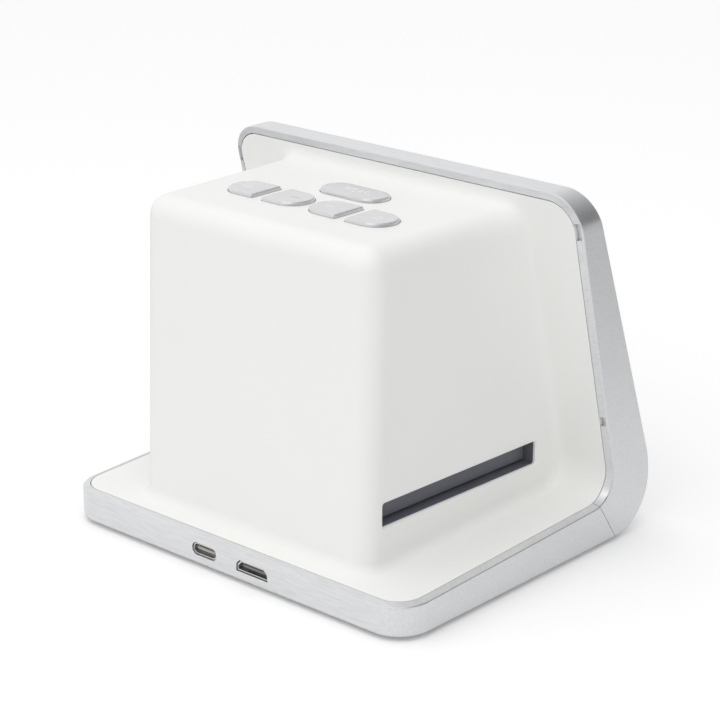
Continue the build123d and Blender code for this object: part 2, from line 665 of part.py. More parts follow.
def along_hinge(radius, start, end):
    """Cylinder about the hinge axis in a wall frame."""
    rod = Cylinder(radius, end - start, align=FOOT_ALIGN)
    return Pos(start, HINGE_UP, -HINGE_DEEP) * Rot(0, 90, 0) * rod


def make_flap(side):
    """Dust flap that hangs from its barrel, its outer face level with the barrel's front."""
    face = BARREL_R - HINGE_DEEP
    spring_room = SPRING_WIRE * (SPRING_TURNS + 2)
    end = FLAP_HALF - spring_room
    plate = Pos(0, (HINGE_UP + FLAP_FOOT) / 2, face - FLAP_T / 2) * Box(
        2 * FLAP_HALF, HINGE_UP - FLAP_FOOT, FLAP_T)
    foot = plate.edges().filter_by(Axis.X).group_by(Axis.Y)[0]
    plate = chamfer(foot, FLAP_FOOT_BEVEL)
    corner = Pos(FLAP_HALF - spring_room / 2, HINGE_UP, face - FLAP_T / 2) * Box(
        spring_room, 2.6 * BARREL_R, 2 * FLAP_T + BARREL_R)
    body = plate - corner + along_hinge(BARREL_R, -FLAP_HALF, end)
    body = body - along_hinge(PIN_R + PIN_CLEAR, -FLAP_HALF - 1, FLAP_HALF + 1)
    return wall_frame(side) * body


def make_pin(side):
    """Hinge pin, held in the tray's two rails."""
    reach = SLOT_L / 2 + TRAY_CLEAR + RAIL_T * 0.8
    return wall_frame(side) * along_hinge(PIN_R, -reach, reach)


def make_spring(side):
    """Coil on the pin at the flap's end, with one leg that bears on the roof."""
    coil_r = PIN_R + PIN_CLEAR + SPRING_WIRE
    pitch = SPRING_WIRE * 1.12
    start = FLAP_HALF - SPRING_WIRE * (SPRING_TURNS + 1.2)
    coil = Helix(pitch=pitch, height=pitch * SPRING_TURNS, radius=coil_r)
    section = Plane(origin=coil @ 0, z_dir=coil % 0) * RegularPolygon(SPRING_WIRE / 2, 6)
    wire = sweep(section, path=coil, is_frenet=True)
    tail = coil @ 1
    leg_l = SLOT_H / 2 + TRAY_CLEAR - HINGE_UP - SPRING_WIRE / 2
    leg = Pos(tail.X, tail.Y, tail.Z) * Rot(-90, 0, 0) * extrude(
        RegularPolygon(SPRING_WIRE / 2, 6), amount=leg_l)
    place = Pos(start, HINGE_UP, -HINGE_DEEP) * Rot(0, 90, 0)
    return wall_frame(side) * (place * (wire + leg))


def wall_space(inset):
    """Room inside the block's walls from the base to above the passage, its upright edges round."""
    space = block_body(Z0, ROOF_TOP_Z + SKIN_T, inset, 0)
    upright = [edge for edge in space.edges() if abs((edge % 0.5).Z) > 0.9 and (edge @ 0.5).Y > 0]
    return fillet(ShapeList(upright), BLOCK_EDGE_R - inset)


def make_tray():
    """Floor and side rails of the film passage, with the frame window in the floor."""
    floor_z = TRAY_LOW_Z + TRAY_T
    outline = [(-TRAY_HALF, TRAY_LOW_Z), (TRAY_HALF, TRAY_LOW_Z), (TRAY_HALF, TRAY_HIGH_Z),
               (PASSAGE_HALF, TRAY_HIGH_Z), (PASSAGE_HALF, floor_z), (-PASSAGE_HALF, floor_z),
               (-PASSAGE_HALF, TRAY_HIGH_Z), (-TRAY_HALF, TRAY_HIGH_Z)]
    trough = across(Plane.YZ * Pos(SLOT_MID_Y, 0) * make_face(Polyline(outline, close=True)), HALF_W)
    tray = trough & wall_space(SLOT_LIP_T + FIT_GAP)
    window = Pos(0, SLOT_MID_Y, TRAY_LOW_Z - 1) * extrude(Rectangle(GATE_L, GATE_W), amount=TRAY_T + 2)
    tray = tray - window
    for side in (-1, 1):
        tray = tray - wall_frame(side) * along_hinge(PIN_R + PIN_SEAT_CLEAR, -SLOT_L, SLOT_L)
    for x, y in passage_screw_places():
        tray = tray - disc(x, y, 0, ROOF_TOP_Z, SCREW_R + SCREW_CLEAR)
    return tray


def make_roof():
    """Roof plate of the film passage, with the frame window under the camera."""
    plate = slab(-HALF_W, HALF_W, SLOT_MID_Y - TRAY_HALF, SLOT_MID_Y + TRAY_HALF, TRAY_HIGH_Z, ROOF_TOP_Z)
    roof = plate & wall_space(SLOT_LIP_T + FIT_GAP)
    window = Pos(0, SLOT_MID_Y, TRAY_HIGH_Z - 1) * extrude(Rectangle(GATE_L, GATE_W), amount=TRAY_T + 2)
    roof = roof - window
    for x, y in passage_screw_places():
        roof = roof - disc(x, y, 0, ROOF_TOP_Z + 1, SCREW_R + SCREW_CLEAR)
    return roof


def passage_screw_places():
    """Screws down through the roof into the rails."""
    along = GATE_L / 2 + RAIL_T * 2
    across_y = PASSAGE_HALF + RAIL_T / 2
    return [(sx * along, SLOT_MID_Y + sy * across_y) for sx in (-1, 1) for sy in (-1, 1)]


def make_diffuser():
    """Opal plate that fills the floor's window, level with the floor."""
    size = Rectangle(GATE_L - 2 * FIT_GAP, GATE_W - 2 * FIT_GAP)
    return Pos(0, SLOT_MID_Y, TRAY_LOW_Z) * extrude(size, amount=TRAY_T - TRAY_CLEAR)


def make_light_box():
    """White walls between the bottom cover and the tray's floor."""
    outer = Rectangle(LIGHT_BOX_L, LIGHT_BOX_W)
    inner = Rectangle(LIGHT_BOX_L - 2 * LIGHT_BOX_T, LIGHT_BOX_W - 2 * LIGHT_BOX_T)
    walls = extrude(outer - inner, amount=TRAY_LOW_Z - COVER_TOP_Z)
    shelf = outer - Rectangle(GATE_L - 2, GATE_W - 2)
    walls = walls + extrude(shelf, amount=LIGHT_FOOT)
    walls = walls + Pos(0, 0, TRAY_LOW_Z - COVER_TOP_Z - LIGHT_BOX_T) * extrude(shelf, amount=LIGHT_BOX_T)
    return Pos(0, SLOT_MID_Y, COVER_TOP_Z) * walls


def make_backlight():
    """Board of the backlight and its rows of lamps."""
    size = Rectangle(LIGHT_BOX_L - 2 * LIGHT_BOX_T - 2 * FIT_GAP, LIGHT_BOX_W - 2 * LIGHT_BOX_T - 2 * FIT_GAP)
    base = COVER_TOP_Z + LIGHT_FOOT
    board = Pos(0, SLOT_MID_Y, base) * extrude(size, amount=LED_BOARD_T)
    lamps = []
    for row in range(LED_ROWS):
        for column in range(LED_COLUMNS):
            x = (column - (LED_COLUMNS - 1) / 2) * GATE_L / LED_COLUMNS
            y = SLOT_MID_Y + (row - (LED_ROWS - 1) / 2) * GATE_W / LED_ROWS
            lamps.append(Pos(x, y, base + LED_BOARD_T) * Box(
                LED_W, LED_W * 0.8, LED_H, align=FOOT_ALIGN))
    return board, lamps


# ---- camera -----------------------------------------------------------------------------
def tower_section(length, width, z):
    return Pos(0, SLOT_MID_Y, z) * RectangleRounded(length, width, TOWER_T)


def make_tower():
    """Hollow hood that narrows from the passage's roof up to the camera, with four posts."""
    top = ROOF_TOP_Z + TOWER_H
    shell = loft([tower_section(TOWER_BASE_L, TOWER_BASE_W, ROOF_TOP_Z),
                  tower_section(TOWER_TOP, TOWER_TOP, top)], ruled=True)
    inner = loft([tower_section(TOWER_BASE_L - 2 * TOWER_T, TOWER_BASE_W - 2 * TOWER_T, ROOF_TOP_Z),
                  tower_section(TOWER_TOP - 2 * TOWER_T, TOWER_TOP - 2 * TOWER_T, top)], ruled=True)
    shell = shell - inner
    plate = Pos(0, SLOT_MID_Y, top) * extrude(
        RectangleRounded(SENSOR_BOARD_W, SENSOR_BOARD_W, TOWER_T) - Circle(TOWER_TOP / 2 - TOWER_T),
        amount=TOWER_T)
    tower = shell + plate
    for x, y in post_places():
        tower = tower + disc(x, y, top, SENSOR_Z, POST_R)
        tower = tower - disc(x, y, SENSOR_Z - 4 * SCREW_R, SENSOR_Z, SCREW_R)
    return tower


def post_places():
    reach = SENSOR_BOARD_W / 2 - POST_R
    return [(sx * reach, SLOT_MID_Y + sy * reach) for sx in (-1, 1) for sy in (-1, 1)]


def make_sensor_board():
    board = Pos(0, SLOT_MID_Y, SENSOR_Z) * extrude(
        RectangleRounded(SENSOR_BOARD_W, SENSOR_BOARD_W, TOWER_T), amount=SENSOR_BOARD_T)
    for x, y in post_places():
        board = board - disc(x, y, 0, SENSOR_Z + 2, SCREW_R + SCREW_CLEAR)
    return board


def make_lens_holder():
    """Square mount under the sensor board that the lens barrel screws into."""
    holder = Pos(0, SLOT_MID_Y, SENSOR_Z - POST_H + HOLDER_GAP) * extrude(
        RectangleRounded(HOLDER_W, HOLDER_W, HOLDER_GAP), amount=POST_H - HOLDER_GAP)
    return holder - disc(0, SLOT_MID_Y, 0, SENSOR_Z, BARREL_LENS_R + LENS_FIT)


def make_lens_barrel():
    """Lens barrel with a knurled ring below its holder."""
    barrel = disc(0, SLOT_MID_Y, BARREL_LOW_Z, BARREL_TOP_Z, BARREL_LENS_R)
    ring = disc(0, SLOT_MID_Y, BARREL_LOW_Z, BARREL_LOW_Z + BARREL_LENS_L / 4, BARREL_LENS_R + 1)
    return barrel + ring - disc(0, SLOT_MID_Y, 0, BARREL_TOP_Z + 1, BARREL_BORE_R)


def make_lens(face_z, facing):
    """One bulging lens element in the barrel's bore; facing +1 bulges upwards."""
    radius = BARREL_BORE_R - LENS_FIT
    thick = radius * 0.6
    ball = 2 * radius
    edge = Cylinder(radius, thick, align=FOOT_ALIGN)
    lens = edge & Pos(0, 0, thick - ball) * Sphere(ball)
    turn = Rot(0, 0, 0) if facing > 0 else Rot(180, 0, 0)
    return Pos(0, SLOT_MID_Y, face_z) * turn * lens


# ---- keys -------------------------------------------------------------------------------
def make_key(name, outline):
    """Key with drafted sides, a bevelled top, a retaining flange and a stem."""
    cap = Pos(0, 0, BLOCK_TOP_Z) * extrude(outline(0), amount=KEY_H, taper=KEY_DRAFT)
    cap = chamfer(cap.edges().group_by(Axis.Z)[-1], KEY_BEVEL)
    neck = Pos(0, 0, FLANGE_TOP_Z) * extrude(outline(0), amount=BLOCK_TOP_Z - FLANGE_TOP_Z)
    if name == "main":
        spread = outline(FLANGE_W)
    else:
        side = 1 if name.startswith("right") else -1
        spread = half_pill(side, name.endswith("outer"), FLANGE_W, 0)
    flange = Pos(0, 0, FLANGE_TOP_Z - FLANGE_T) * extrude(spread, amount=FLANGE_T)
    x, y = key_centre(name)
    return cap + neck + flange + disc(x, y, STEM_LOW_Z, FLANGE_TOP_Z, STEM_R)


def make_plunger(name):
    x, y = key_centre(name)
    return disc(x, y, SWITCH_TOP_Z - PLUNGER_IN, STEM_LOW_Z, PLUNGER_R)


def make_switch(name):
    x, y = key_centre(name)
    body = Pos(x, y, KEY_BOARD_TOP_Z) * Box(
        SWITCH_W, SWITCH_W, SWITCH_H, align=FOOT_ALIGN)
    low = SWITCH_TOP_Z - PLUNGER_IN - KEY_TRAVEL - 2 * PLUNGER_CLEAR
    return body - disc(x, y, low, SWITCH_TOP_Z, PLUNGER_R + PLUNGER_CLEAR)


def make_key_board():
    board = Pos(0, KEY_BOARD_Y, KEY_BOARD_TOP_Z - KEY_BOARD_T) * extrude(
        RectangleRounded(KEY_BOARD_L, KEY_BOARD_W, BOSS_R), amount=KEY_BOARD_T)
    for x, y in key_boss_places():
        board = board - disc(x, y, 0, BLOCK_TOP_Z, SCREW_R + SCREW_CLEAR)
    return board


# ---- screen assembly --------------------------------------------------------------------
def make_glass():
    pane = extrude(SCREEN * glass_outline(0), amount=-GLASS_T)
    front = pane.faces().sort_by(Axis.Y)[0]
    return chamfer(front.edges(), GLASS_GAP)


def make_gasket():
    ring = glass_outline(-GLASS_GAP) - glass_outline(-GLASS_GAP - GASKET_W)
    return extrude(on_screen(0, 0, GLASS_T) * ring, amount=-GASKET_T)


def make_lcd():
    panel = Pos(0, lcd_middle()) * RectangleRounded(LCD_L, LCD_W, GLASS_GAP * 6)
    return extrude(on_screen(0, 0, GLASS_T) * panel, amount=-LCD_T)


def make_bracket():
    """Pressed steel plate behind the panel, with large lightening windows."""
    width = LCD_W + 2 * BRACKET_MARGIN
    plate = RectangleRounded(LCD_L, width, BRACKET_MARGIN)
    for side in (-1, 1):
        plate = plate - Pos(side * LCD_L / 5, 0) * RectangleRounded(LCD_L / 4, LCD_W / 2, BRACKET_MARGIN / 2)
    plate = Pos(0, lcd_middle()) * plate
    for x, up in lcd_screw_places():
        plate = plate - Pos(x, up) * Circle(SCREW_R + SCREW_CLEAR)
    return extrude(on_screen(0, 0, GLASS_T + LCD_T) * plate, amount=-BRACKET_T)


# ---- underside --------------------------------------------------------------------------
def foot_places():
    x = HALF_W - FOOT_INSET_X
    return {
        "front_left": (-x, FRONT_Y + FOOT_INSET_FRONT),
        "front_right": (x, FRONT_Y + FOOT_INSET_FRONT),
        "rear_left": (-x, REAR_Y - FOOT_INSET_REAR),
        "rear_right": (x, REAR_Y - FOOT_INSET_REAR),
    }


def board_pad_places():
    """Where the main board is screwed to the bottom cover."""
    left = BOARD_LEFT_X + 2 * BOSS_R
    rear = REAR_Y - HOUSING_SIDE - SKIRT_T - 3 * BOSS_R
    return [(left, rear), (left, BOARD_FRONT_Y + BOSS_R), (WING_X - BOSS_R, rear)]


def make_cover():
    """Bottom cover with foot recesses, counterbored screw holes and pads for the main board."""
    front = SEAM_FRONT_Y + COVER_GAP
    half = HALF_W - BAND_T - COVER_GAP
    rear = REAR_Y - BAND_T - COVER_GAP
    plate = slab(-half, half, front, rear, Z0, COVER_TOP_Z)
    plate = fillet(plate.edges().filter_by(Axis.Z).group_by(Axis.Y)[-1], CORNER_R - BAND_T - COVER_GAP)
    plate = split(plate, bisect_by=seam_plane(COVER_GAP), keep=Keep.TOP)
    for x, y in board_pad_places():
        plate = plate + disc(x, y, COVER_TOP_Z, BOARD_Z, BOSS_R)
        plate = plate - disc(x, y, Z0 + COVER_T / 3, BOARD_Z, SCREW_R + SCREW_CLEAR)
    for x, y in foot_places().values():
        plate = plate - disc(x, y, 0, Z0 + FOOT_SINK, FOOT_R + SCREW_CLEAR)
    for x, y in bottom_screw_places():
        plate = plate - disc(x, y, 0, Z0 + SCREW_SINK, SCREW_HEAD_R + 2 * SCREW_CLEAR)
        plate = plate - disc(x, y, 0, COVER_TOP_Z, SCREW_R + SCREW_CLEAR)
    return plate


def make_foot(x, y):
    foot = disc(x, y, 0, Z0 + FOOT_SINK, FOOT_R)
    return chamfer(foot.edges().group_by(Axis.Z)[0], FOOT_H / 3)


def screw(head_h, length):
    """Screw whose head stands above z = 0 and whose shank goes down, with a cross recess."""
    head = Cylinder(SCREW_HEAD_R, head_h, align=FOOT_ALIGN)
    head = chamfer(head.edges().group_by(Axis.Z)[-1], head_h / 4)
    deep = head_h / 2
    for turn in (0, 90):
        head = head - Pos(0, 0, head_h) * Rot(0, 0, turn) * Box(1.3 * SCREW_HEAD_R, SCREW_R / 2, 2 * deep)
    shank = Cylinder(SCREW_R, length, align=HEAD_ALIGN)
    return head + shank


def make_bottom_screws():
    return [Pos(x, y, Z0 + SCREW_SINK) * Rot(180, 0, 0) * screw(BOTTOM_HEAD_H, BOTTOM_SCREW_L)
            for x, y in bottom_screw_places()]


# ---- main board -------------------------------------------------------------------------
def make_board():
    """Main board with a wing under the card socket, cut clear of the screw bosses."""
    rear = REAR_Y - HOUSING_SIDE - SKIRT_T - BOARD_WALL_GAP
    main = slab(BOARD_LEFT_X, BOARD_RIGHT_X, BOARD_FRONT_Y, rear, BOARD_Z, BOARD_TOP_Z)
    wing = slab(WING_X, BOARD_RIGHT_X, WING_FRONT_Y, BOARD_FRONT_Y, BOARD_Z, BOARD_TOP_Z)
    board = main + wing
    corner = board.edges().filter_by(Axis.Z).group_by(Axis.Y)[-1].sort_by(Axis.X)[-1]
    board = fillet(corner, CORNER_R - HOUSING_SIDE)
    for x, y in bottom_screw_places():
        board = board - disc(x, y, 0, BOARD_TOP_Z + 1, BOSS_R + BOARD_WALL_GAP)
    for x, y in board_pad_places():
        board = board - disc(x, y, 0, BOARD_TOP_Z + 1, SCREW_R + SCREW_CLEAR)
    return board


def make_board_parts():
    """Cable connectors, processor, memories and coils on the main board."""
    plugs = [(x, y, FLEX_W + 2 * FLEX_BEND, PLUG_W, PLUG_H) for x, y in
             ((LCD_FLEX_X, LCD_FLEX_Y), (CAMERA_FLEX_X, REAR_FLEX_Y), (KEY_FLEX_X, REAR_FLEX_Y))]
    chips = [(x, REAR_Y - run, length, width, height) for x, run, length, width, height in CHIPS]
    return [Pos(x, y, BOARD_TOP_Z) * Box(length, width, height, align=FOOT_ALIGN)
            for x, y, length, width, height in chips + plugs]


def port_shell(outline, x, z, length):
    """Thin metal shell of a socket, open at the rear edge and closed inside."""
    rear = REAR_Y - PORT_SINK
    shell = rear_prism(outline(0), x, z, rear - length, rear)
    return shell - rear_prism(outline(-SHELL_T), x, z, rear - length + SHELL_T, rear + 1)


def port_tongue(outline, x, z, width, length):
    """Contact tongue inside a socket and the foot it grows from."""
    mouth = REAR_Y - PORT_SINK
    front = mouth - length + SHELL_T
    foot = rear_prism(outline(-SHELL_T), x, z, front, mouth - INSULATOR_SINK)
    half_t = TONGUE_T / 2
    return foot + slab(x - width / 2, x + width / 2, front, mouth - TONGUE_SINK, z - half_t, z + half_t)


def make_card_socket():
    """Card socket: a flat metal can open towards the side wall."""
    outer_x = HALF_W - HOUSING_SIDE - SKIRT_T - FIT_GAP
    body = slab(outer_x - CARD_L, outer_x, CARD_Y - CARD_W / 2 - SHELL_T, CARD_Y + CARD_W / 2 + SHELL_T,
                BOARD_TOP_Z, BOARD_TOP_Z + CARD_H)
    mouth = slab(outer_x - CARD_L + 2 * SHELL_T, HALF_W, CARD_Y - CARD_SLOT_W / 2, CARD_Y + CARD_SLOT_W / 2,
                 CARD_Z - CARD_SLOT_H / 2, CARD_Z + CARD_SLOT_H / 2)
    return body - mouth


def flex(points, x):
    """Flat flexible cable that follows points (y, z), bent round small radii."""
    path = FilletPolyline([Vector(0, y, z) for y, z in points], radius=FLEX_BEND)
    section = Plane(origin=path @ 0, x_dir=(1, 0, 0), z_dir=path % 0) * Rectangle(FLEX_W, FLEX_T)
    return Pos(x, 0, 0) * sweep(section, path=path)


def make_lcd_flex():
    """From the panel's lower edge round the bracket and along the base to the main board."""
    panel_low = lcd_middle() - LCD_W / 2
    edge = on_screen(0, panel_low, GLASS_T + LCD_T / 2).position
    turn = on_screen(0, panel_low - BRACKET_MARGIN - 2 * FLEX_BEND, GLASS_T + LCD_T / 2).position
    level = BOARD_TOP_Z + PLUG_H + FLEX_T / 2
    fall = (turn.Z - level) * TAN_FRONT
    points = [(edge.Y, edge.Z), (turn.Y, turn.Z), (turn.Y + fall + 4 * FLEX_BEND, level),
              (LCD_FLEX_Y + PLUG_W / 2, level)]
    return flex(points, LCD_FLEX_X)


def make_rear_flex(x, start_y, start_z, drop_y):
    """From a board high in the block down behind the passage to the main board."""
    low_y = block_rear(SLOT_MID_Z, SKIN_T) - 3 * FLEX_T
    level = BOARD_TOP_Z + PLUG_H + FLEX_T / 2
    points = [(start_y, start_z), (drop_y, start_z), (drop_y, ROOF_TOP_Z + 4 * SKIN_T),
              (low_y, ROOF_TOP_Z + SKIN_T), (low_y, level), (REAR_FLEX_Y - PLUG_W / 2, level)]
    return flex(points, x)


# ---- write every sub-part to its own file -----------------------------------------------
def build():
    parts = {}
    parts["screen_band"], parts["base_band"] = make_bands(make_outer())
    parts["rear_housing"] = make_housing()
    parts["bottom_cover"] = make_cover()
    for name, (x, y) in foot_places().items():
        parts["foot_" + name] = make_foot(x, y)
    parts["bottom_screws"] = make_bottom_screws()
    parts["front_glass"] = make_glass()
    parts["glass_gasket"] = make_gasket()
    parts["lcd_panel"] = make_lcd()
    parts["lcd_bracket"] = make_bracket()
    parts["lcd_screws"] = [on_screen(x, up, GLASS_T + LCD_T) * screw(SCREW_HEAD_H, BRACKET_T + 1.5 * SCREW_R)
                           for x, up in lcd_screw_places()]
    parts["film_tray"] = make_tray()
    parts["film_roof"] = make_roof()
    parts["passage_screws"] = [Pos(x, y, ROOF_TOP_Z) * screw(SCREW_HEAD_H, 3 * SCREW_HEAD_R)
                               for x, y in passage_screw_places()]
    for side, word in ((-1, "left"), (1, "right")):
        parts["flap_" + word] = make_flap(side)
        parts["flap_pin_" + word] = make_pin(side)
        parts["flap_spring_" + word] = make_spring(side)
    parts["diffuser"] = make_diffuser()
    parts["light_box"] = make_light_box()
    parts["backlight_board"], parts["backlight_leds"] = make_backlight()
    parts["camera_tower"] = make_tower()
    parts["sensor_board"] = make_sensor_board()
    parts["image_sensor"] = Pos(0, SLOT_MID_Y, SENSOR_Z) * Box(
        CHIP_W, CHIP_W, CHIP_T, align=HEAD_ALIGN)
    parts["lens_holder"] = make_lens_holder()
    parts["lens_barrel"] = make_lens_barrel()
    parts["front_lens"] = make_lens(BARREL_LOW_Z + BARREL_LENS_R / 2, -1)
    parts["rear_lens"] = make_lens(BARREL_TOP_Z - BARREL_LENS_R / 2, 1)
    parts["camera_screws"] = [Pos(x, y, SENSOR_Z + SENSOR_BOARD_T) * screw(SCREW_HEAD_H, 4 * SCREW_R)
                              for x, y in post_places()]
    for name, outline in key_places():
        parts["key_" + name] = make_key(name, outline)
        parts["plunger_" + name] = make_plunger(name)
    parts["key_switches"] = [make_switch(name) for name, outline in key_places()]
    parts["key_board"] = make_key_board()
    parts["key_board_screws"] = [Pos(x, y, KEY_BOARD_TOP_Z - KEY_BOARD_T) * Rot(180, 0, 0) * screw(
        SCREW_HEAD_H, 4 * SCREW_R) for x, y in key_boss_places()]
    parts["main_board"] = make_board()
    parts["board_parts"] = make_board_parts()
    parts["board_screws"] = [Pos(x, y, BOARD_TOP_Z) * screw(SCREW_HEAD_H, BOARD_T + BOARD_LIFT + COVER_T / 3)
                             for x, y in board_pad_places()]
    parts["usb_c_shell"] = port_shell(usb_outline, USB_X, USB_Z, USB_L)
    parts["usb_c_tongue"] = port_tongue(usb_outline, USB_X, USB_Z, USB_TONGUE_W, USB_L)
    parts["hdmi_shell"] = port_shell(hdmi_outline, HDMI_X, HDMI_Z, HDMI_L)
    parts["hdmi_tongue"] = port_tongue(hdmi_outline, HDMI_X, HDMI_Z, HDMI_TONGUE_W, HDMI_L)
    parts["card_socket"] = make_card_socket()
    parts["lcd_ribbon"] = make_lcd_flex()
    parts["camera_ribbon"] = make_rear_flex(
        CAMERA_FLEX_X, SLOT_MID_Y + SENSOR_BOARD_W / 3, SENSOR_Z + SENSOR_BOARD_T + FLEX_T / 2,
        block_rear(SENSOR_Z, SKIN_T) - SKIN_T)
    parts["key_ribbon"] = make_rear_flex(
        KEY_FLEX_X, KEY_BOARD_Y + KEY_BOARD_W / 3, KEY_BOARD_TOP_Z - KEY_BOARD_T - FLEX_T / 2,
        block_rear(BLOCK_TOP_Z, SKIN_T) - SKIN_T)
    return parts


os.makedirs("parts", exist_ok=True)
for part_name, shape in build().items():
    solids = []
    for piece in (shape if isinstance(shape, list) else [shape]):
        solids += list(piece.solids())
    node = Compound(children=solids) if len(solids) > 1 else solids[0]
    node.label = part_name
    export_step(node, "parts/" + part_name + ".step")
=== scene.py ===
from math import cos, radians, sin

import bmesh
import bpy
from bpy.props import FloatProperty, FloatVectorProperty, IntProperty, PointerProperty
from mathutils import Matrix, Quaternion, Vector


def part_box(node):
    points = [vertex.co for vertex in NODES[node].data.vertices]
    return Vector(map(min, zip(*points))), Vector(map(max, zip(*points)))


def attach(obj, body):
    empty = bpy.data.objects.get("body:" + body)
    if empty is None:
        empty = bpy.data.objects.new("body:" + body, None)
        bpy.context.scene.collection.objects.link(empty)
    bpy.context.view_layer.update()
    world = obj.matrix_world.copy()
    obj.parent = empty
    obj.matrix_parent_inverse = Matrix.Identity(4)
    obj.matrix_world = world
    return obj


bl_info = {
    "name": "Film Negative Scanner",
    "version": (1, 0, 0),
    "blender": (4, 5, 0),
    "location": "3D View > Sidebar > Scanner",
    "description": "Finishes, key marks, socket contacts and a plain studio for a film negative scanner",
    "category": "Object",
}

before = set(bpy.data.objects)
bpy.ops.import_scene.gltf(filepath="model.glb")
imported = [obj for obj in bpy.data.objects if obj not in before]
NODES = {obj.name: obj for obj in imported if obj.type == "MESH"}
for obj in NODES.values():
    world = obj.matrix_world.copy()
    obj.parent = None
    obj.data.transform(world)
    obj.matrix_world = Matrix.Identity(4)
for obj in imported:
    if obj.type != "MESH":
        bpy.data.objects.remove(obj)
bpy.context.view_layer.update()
ROOT = "scanner"
MM = 0.001
KEYS = ("left_outer", "left_inner", "right_inner", "right_outer", "main")
KEY_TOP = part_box("key_main")[1].z
BLACK = (0, 0, 0)
WHITE = (1, 1, 1)

FULL_RING = 356                 # degrees; a ring stops just short of its own start
BORDER_SIDE = 6 * MM            # the dark border round the display, seen through the front glass
BORDER_TOP = 6 * MM
BORDER_FOOT = 7 * MM
TONGUE_T = 0.7 * MM             # the sockets' tongues and how far they stand out of their feet
TONGUE_REACH = 1.2 * MM
CONTACT_W = 0.26 * MM
CONTACT_T = 0.04 * MM
USB_PITCH = 0.5 * MM
HDMI_PITCH = 0.72 * MM
RIDGE_W = 0.16 * MM             # the ridges round the lens barrel's ring, along and across its rim
RIDGE_L = 0.3 * MM

FLOOR_REACH = 3.0               # metres, like all places and sizes of the studio
PAPER_NEAR = 0.10               # from here to there, shiny faces see the floor grow dim
PAPER_FAR = 0.34
PAPER_DIM = 0.36
PAPER_GLOW = 0.12               # what the camera sees on top of the floor's lit colour
SKY_LEAST = 0.05                # the least level of both skies, and the most of the one for dull faces
SOFT_LIMIT = 2.0
FILL_PLACE = (-0.6, 0.65, 0.96)
FILL_SIZE = 0.9
TOP_PLACE = (0.1, 0.45, 1.2)
TOP_SIZE = 0.8
LAMP_TARGET = (0, 0, 0.05)
CAMERA_PLACE = Vector((-409.93, 456.76, 266.97)) * MM
CAMERA_TARGET = Vector((4.165, -5.65, 46.536)) * MM
CAMERA_ROLL = 0.115             # degrees


def srgb(red, green, blue):
    """A colour read off a screen, 0 to 255, as the linear colour that shaders take."""
    def linear(value):
        value /= 255
        return value / 12.92 if value <= 0.04045 else ((value + 0.055) / 1.055) ** 2.4
    return linear(red), linear(green), linear(blue)


# ---- settings a user would change -------------------------------------------------------
def colour(name, text, default):
    return FloatVectorProperty(name=name, description=text, default=default, subtype="COLOR", size=3,
                               min=0, max=1)


def share(name, text, default):
    return FloatProperty(name=name, description=text, default=default, subtype="FACTOR", min=0, max=1)


def length(name, text, default):
    return FloatProperty(name=name, description=text, default=default, subtype="DISTANCE", unit="LENGTH",
                         min=0)


def whole(name, text, default):
    return IntProperty(name=name, description=text, default=default, min=1)


def level(name, text, default):
    return FloatProperty(name=name, description=text, default=default, min=0)


def slope(name, text, default):
    return FloatVectorProperty(name=name, description=text, default=default)


def power(name, text, default):
    return FloatProperty(name=name, description=text, default=default, subtype="POWER", unit="POWER",
                         min=0)


class ScannerFinishSettings(bpy.types.PropertyGroup):
    white: colour("Housing white", "Colour of the moulded housing", srgb(247, 247, 245))
    white_roughness: share("Housing roughness", "Roughness of the moulded housing", 0.42)
    silver: colour("Band silver", "Colour of the painted bands", srgb(228, 229, 231))
    silver_roughness: share("Band roughness", "Roughness of the silver paint", 0.34)
    key_silver: colour("Key silver", "Colour of the keys", srgb(220, 220, 222))
    mark: colour("Key mark grey", "Colour of the one grey mark on the keys", srgb(186, 188, 191))
    pale_mark: colour("Pale marks", "Colour of the other marks", srgb(246, 246, 246))
    # The flap grey is set far lighter than the flaps' own dark grey. This is painted light: it stands in for
    # the light that does not reach into the slot.
    flap: colour("Flap grey", "Colour of the dust flaps in the slot", srgb(116, 118, 127))
    glass: colour("Glass black", "Colour behind the front glass", srgb(10, 10, 12))


class ScannerDetailSettings(bpy.types.PropertyGroup):
    mark_thickness: length("Mark thickness", "Thickness of the printed key marks", 0.03 * MM)
    mark_stroke: length("Mark stroke", "Width of the strokes of the key marks", 0.32 * MM)
    usb_contacts: whole("USB contacts", "Contacts on each side of the USB tongue", 12)
    hdmi_contacts: whole("HDMI contacts", "Contacts on each side of the HDMI tongue", 10)
    knurls: whole("Knurls", "Ridges round the lens barrel's ring", 60)


class ScannerStageSettings(bpy.types.PropertyGroup):
    floor: colour("Floor", "Colour of the studio floor", srgb(250, 250, 250))
    soft_level: level("Soft level", "Middle level of the light on dull faces", 0.21)
    soft_slope: slope("Soft slope", "How that light grows along X, Y and Z", (0.14, 0.24, 0.95))
    mirror_level: level("Mirror level", "Middle level of what shiny faces reflect", 0.66)
    mirror_slope: slope("Mirror slope", "How that grows along X, Y and Z", (0.66, 0.20, 0.0))
    mirror_limit: level("Mirror limit", "Brightest level that shiny faces reflect", 0.93)
    fill_power: power("Fill light", "Power of the soft light beside the camera", 2.0)
    top_power: power("Top light", "Power of the soft light overhead", 0.9)
    lens: FloatProperty(name="Lens", description="Focal length of the camera", subtype="DISTANCE_CAMERA",
                        default=116.18, min=1)


# ---- materials --------------------------------------------------------------------------
def add_node(tree, kind, inputs=None, **settings):
    """New node in a tree; each input takes a value or is linked to the socket given."""
    made = tree.nodes.new(kind)
    for key, value in settings.items():
        setattr(made, key, value)
    for key, value in (inputs or {}).items():
        if isinstance(value, bpy.types.NodeSocket):
            tree.links.new(value, made.inputs[key])
        else:
            made.inputs[key].default_value = value
    return made


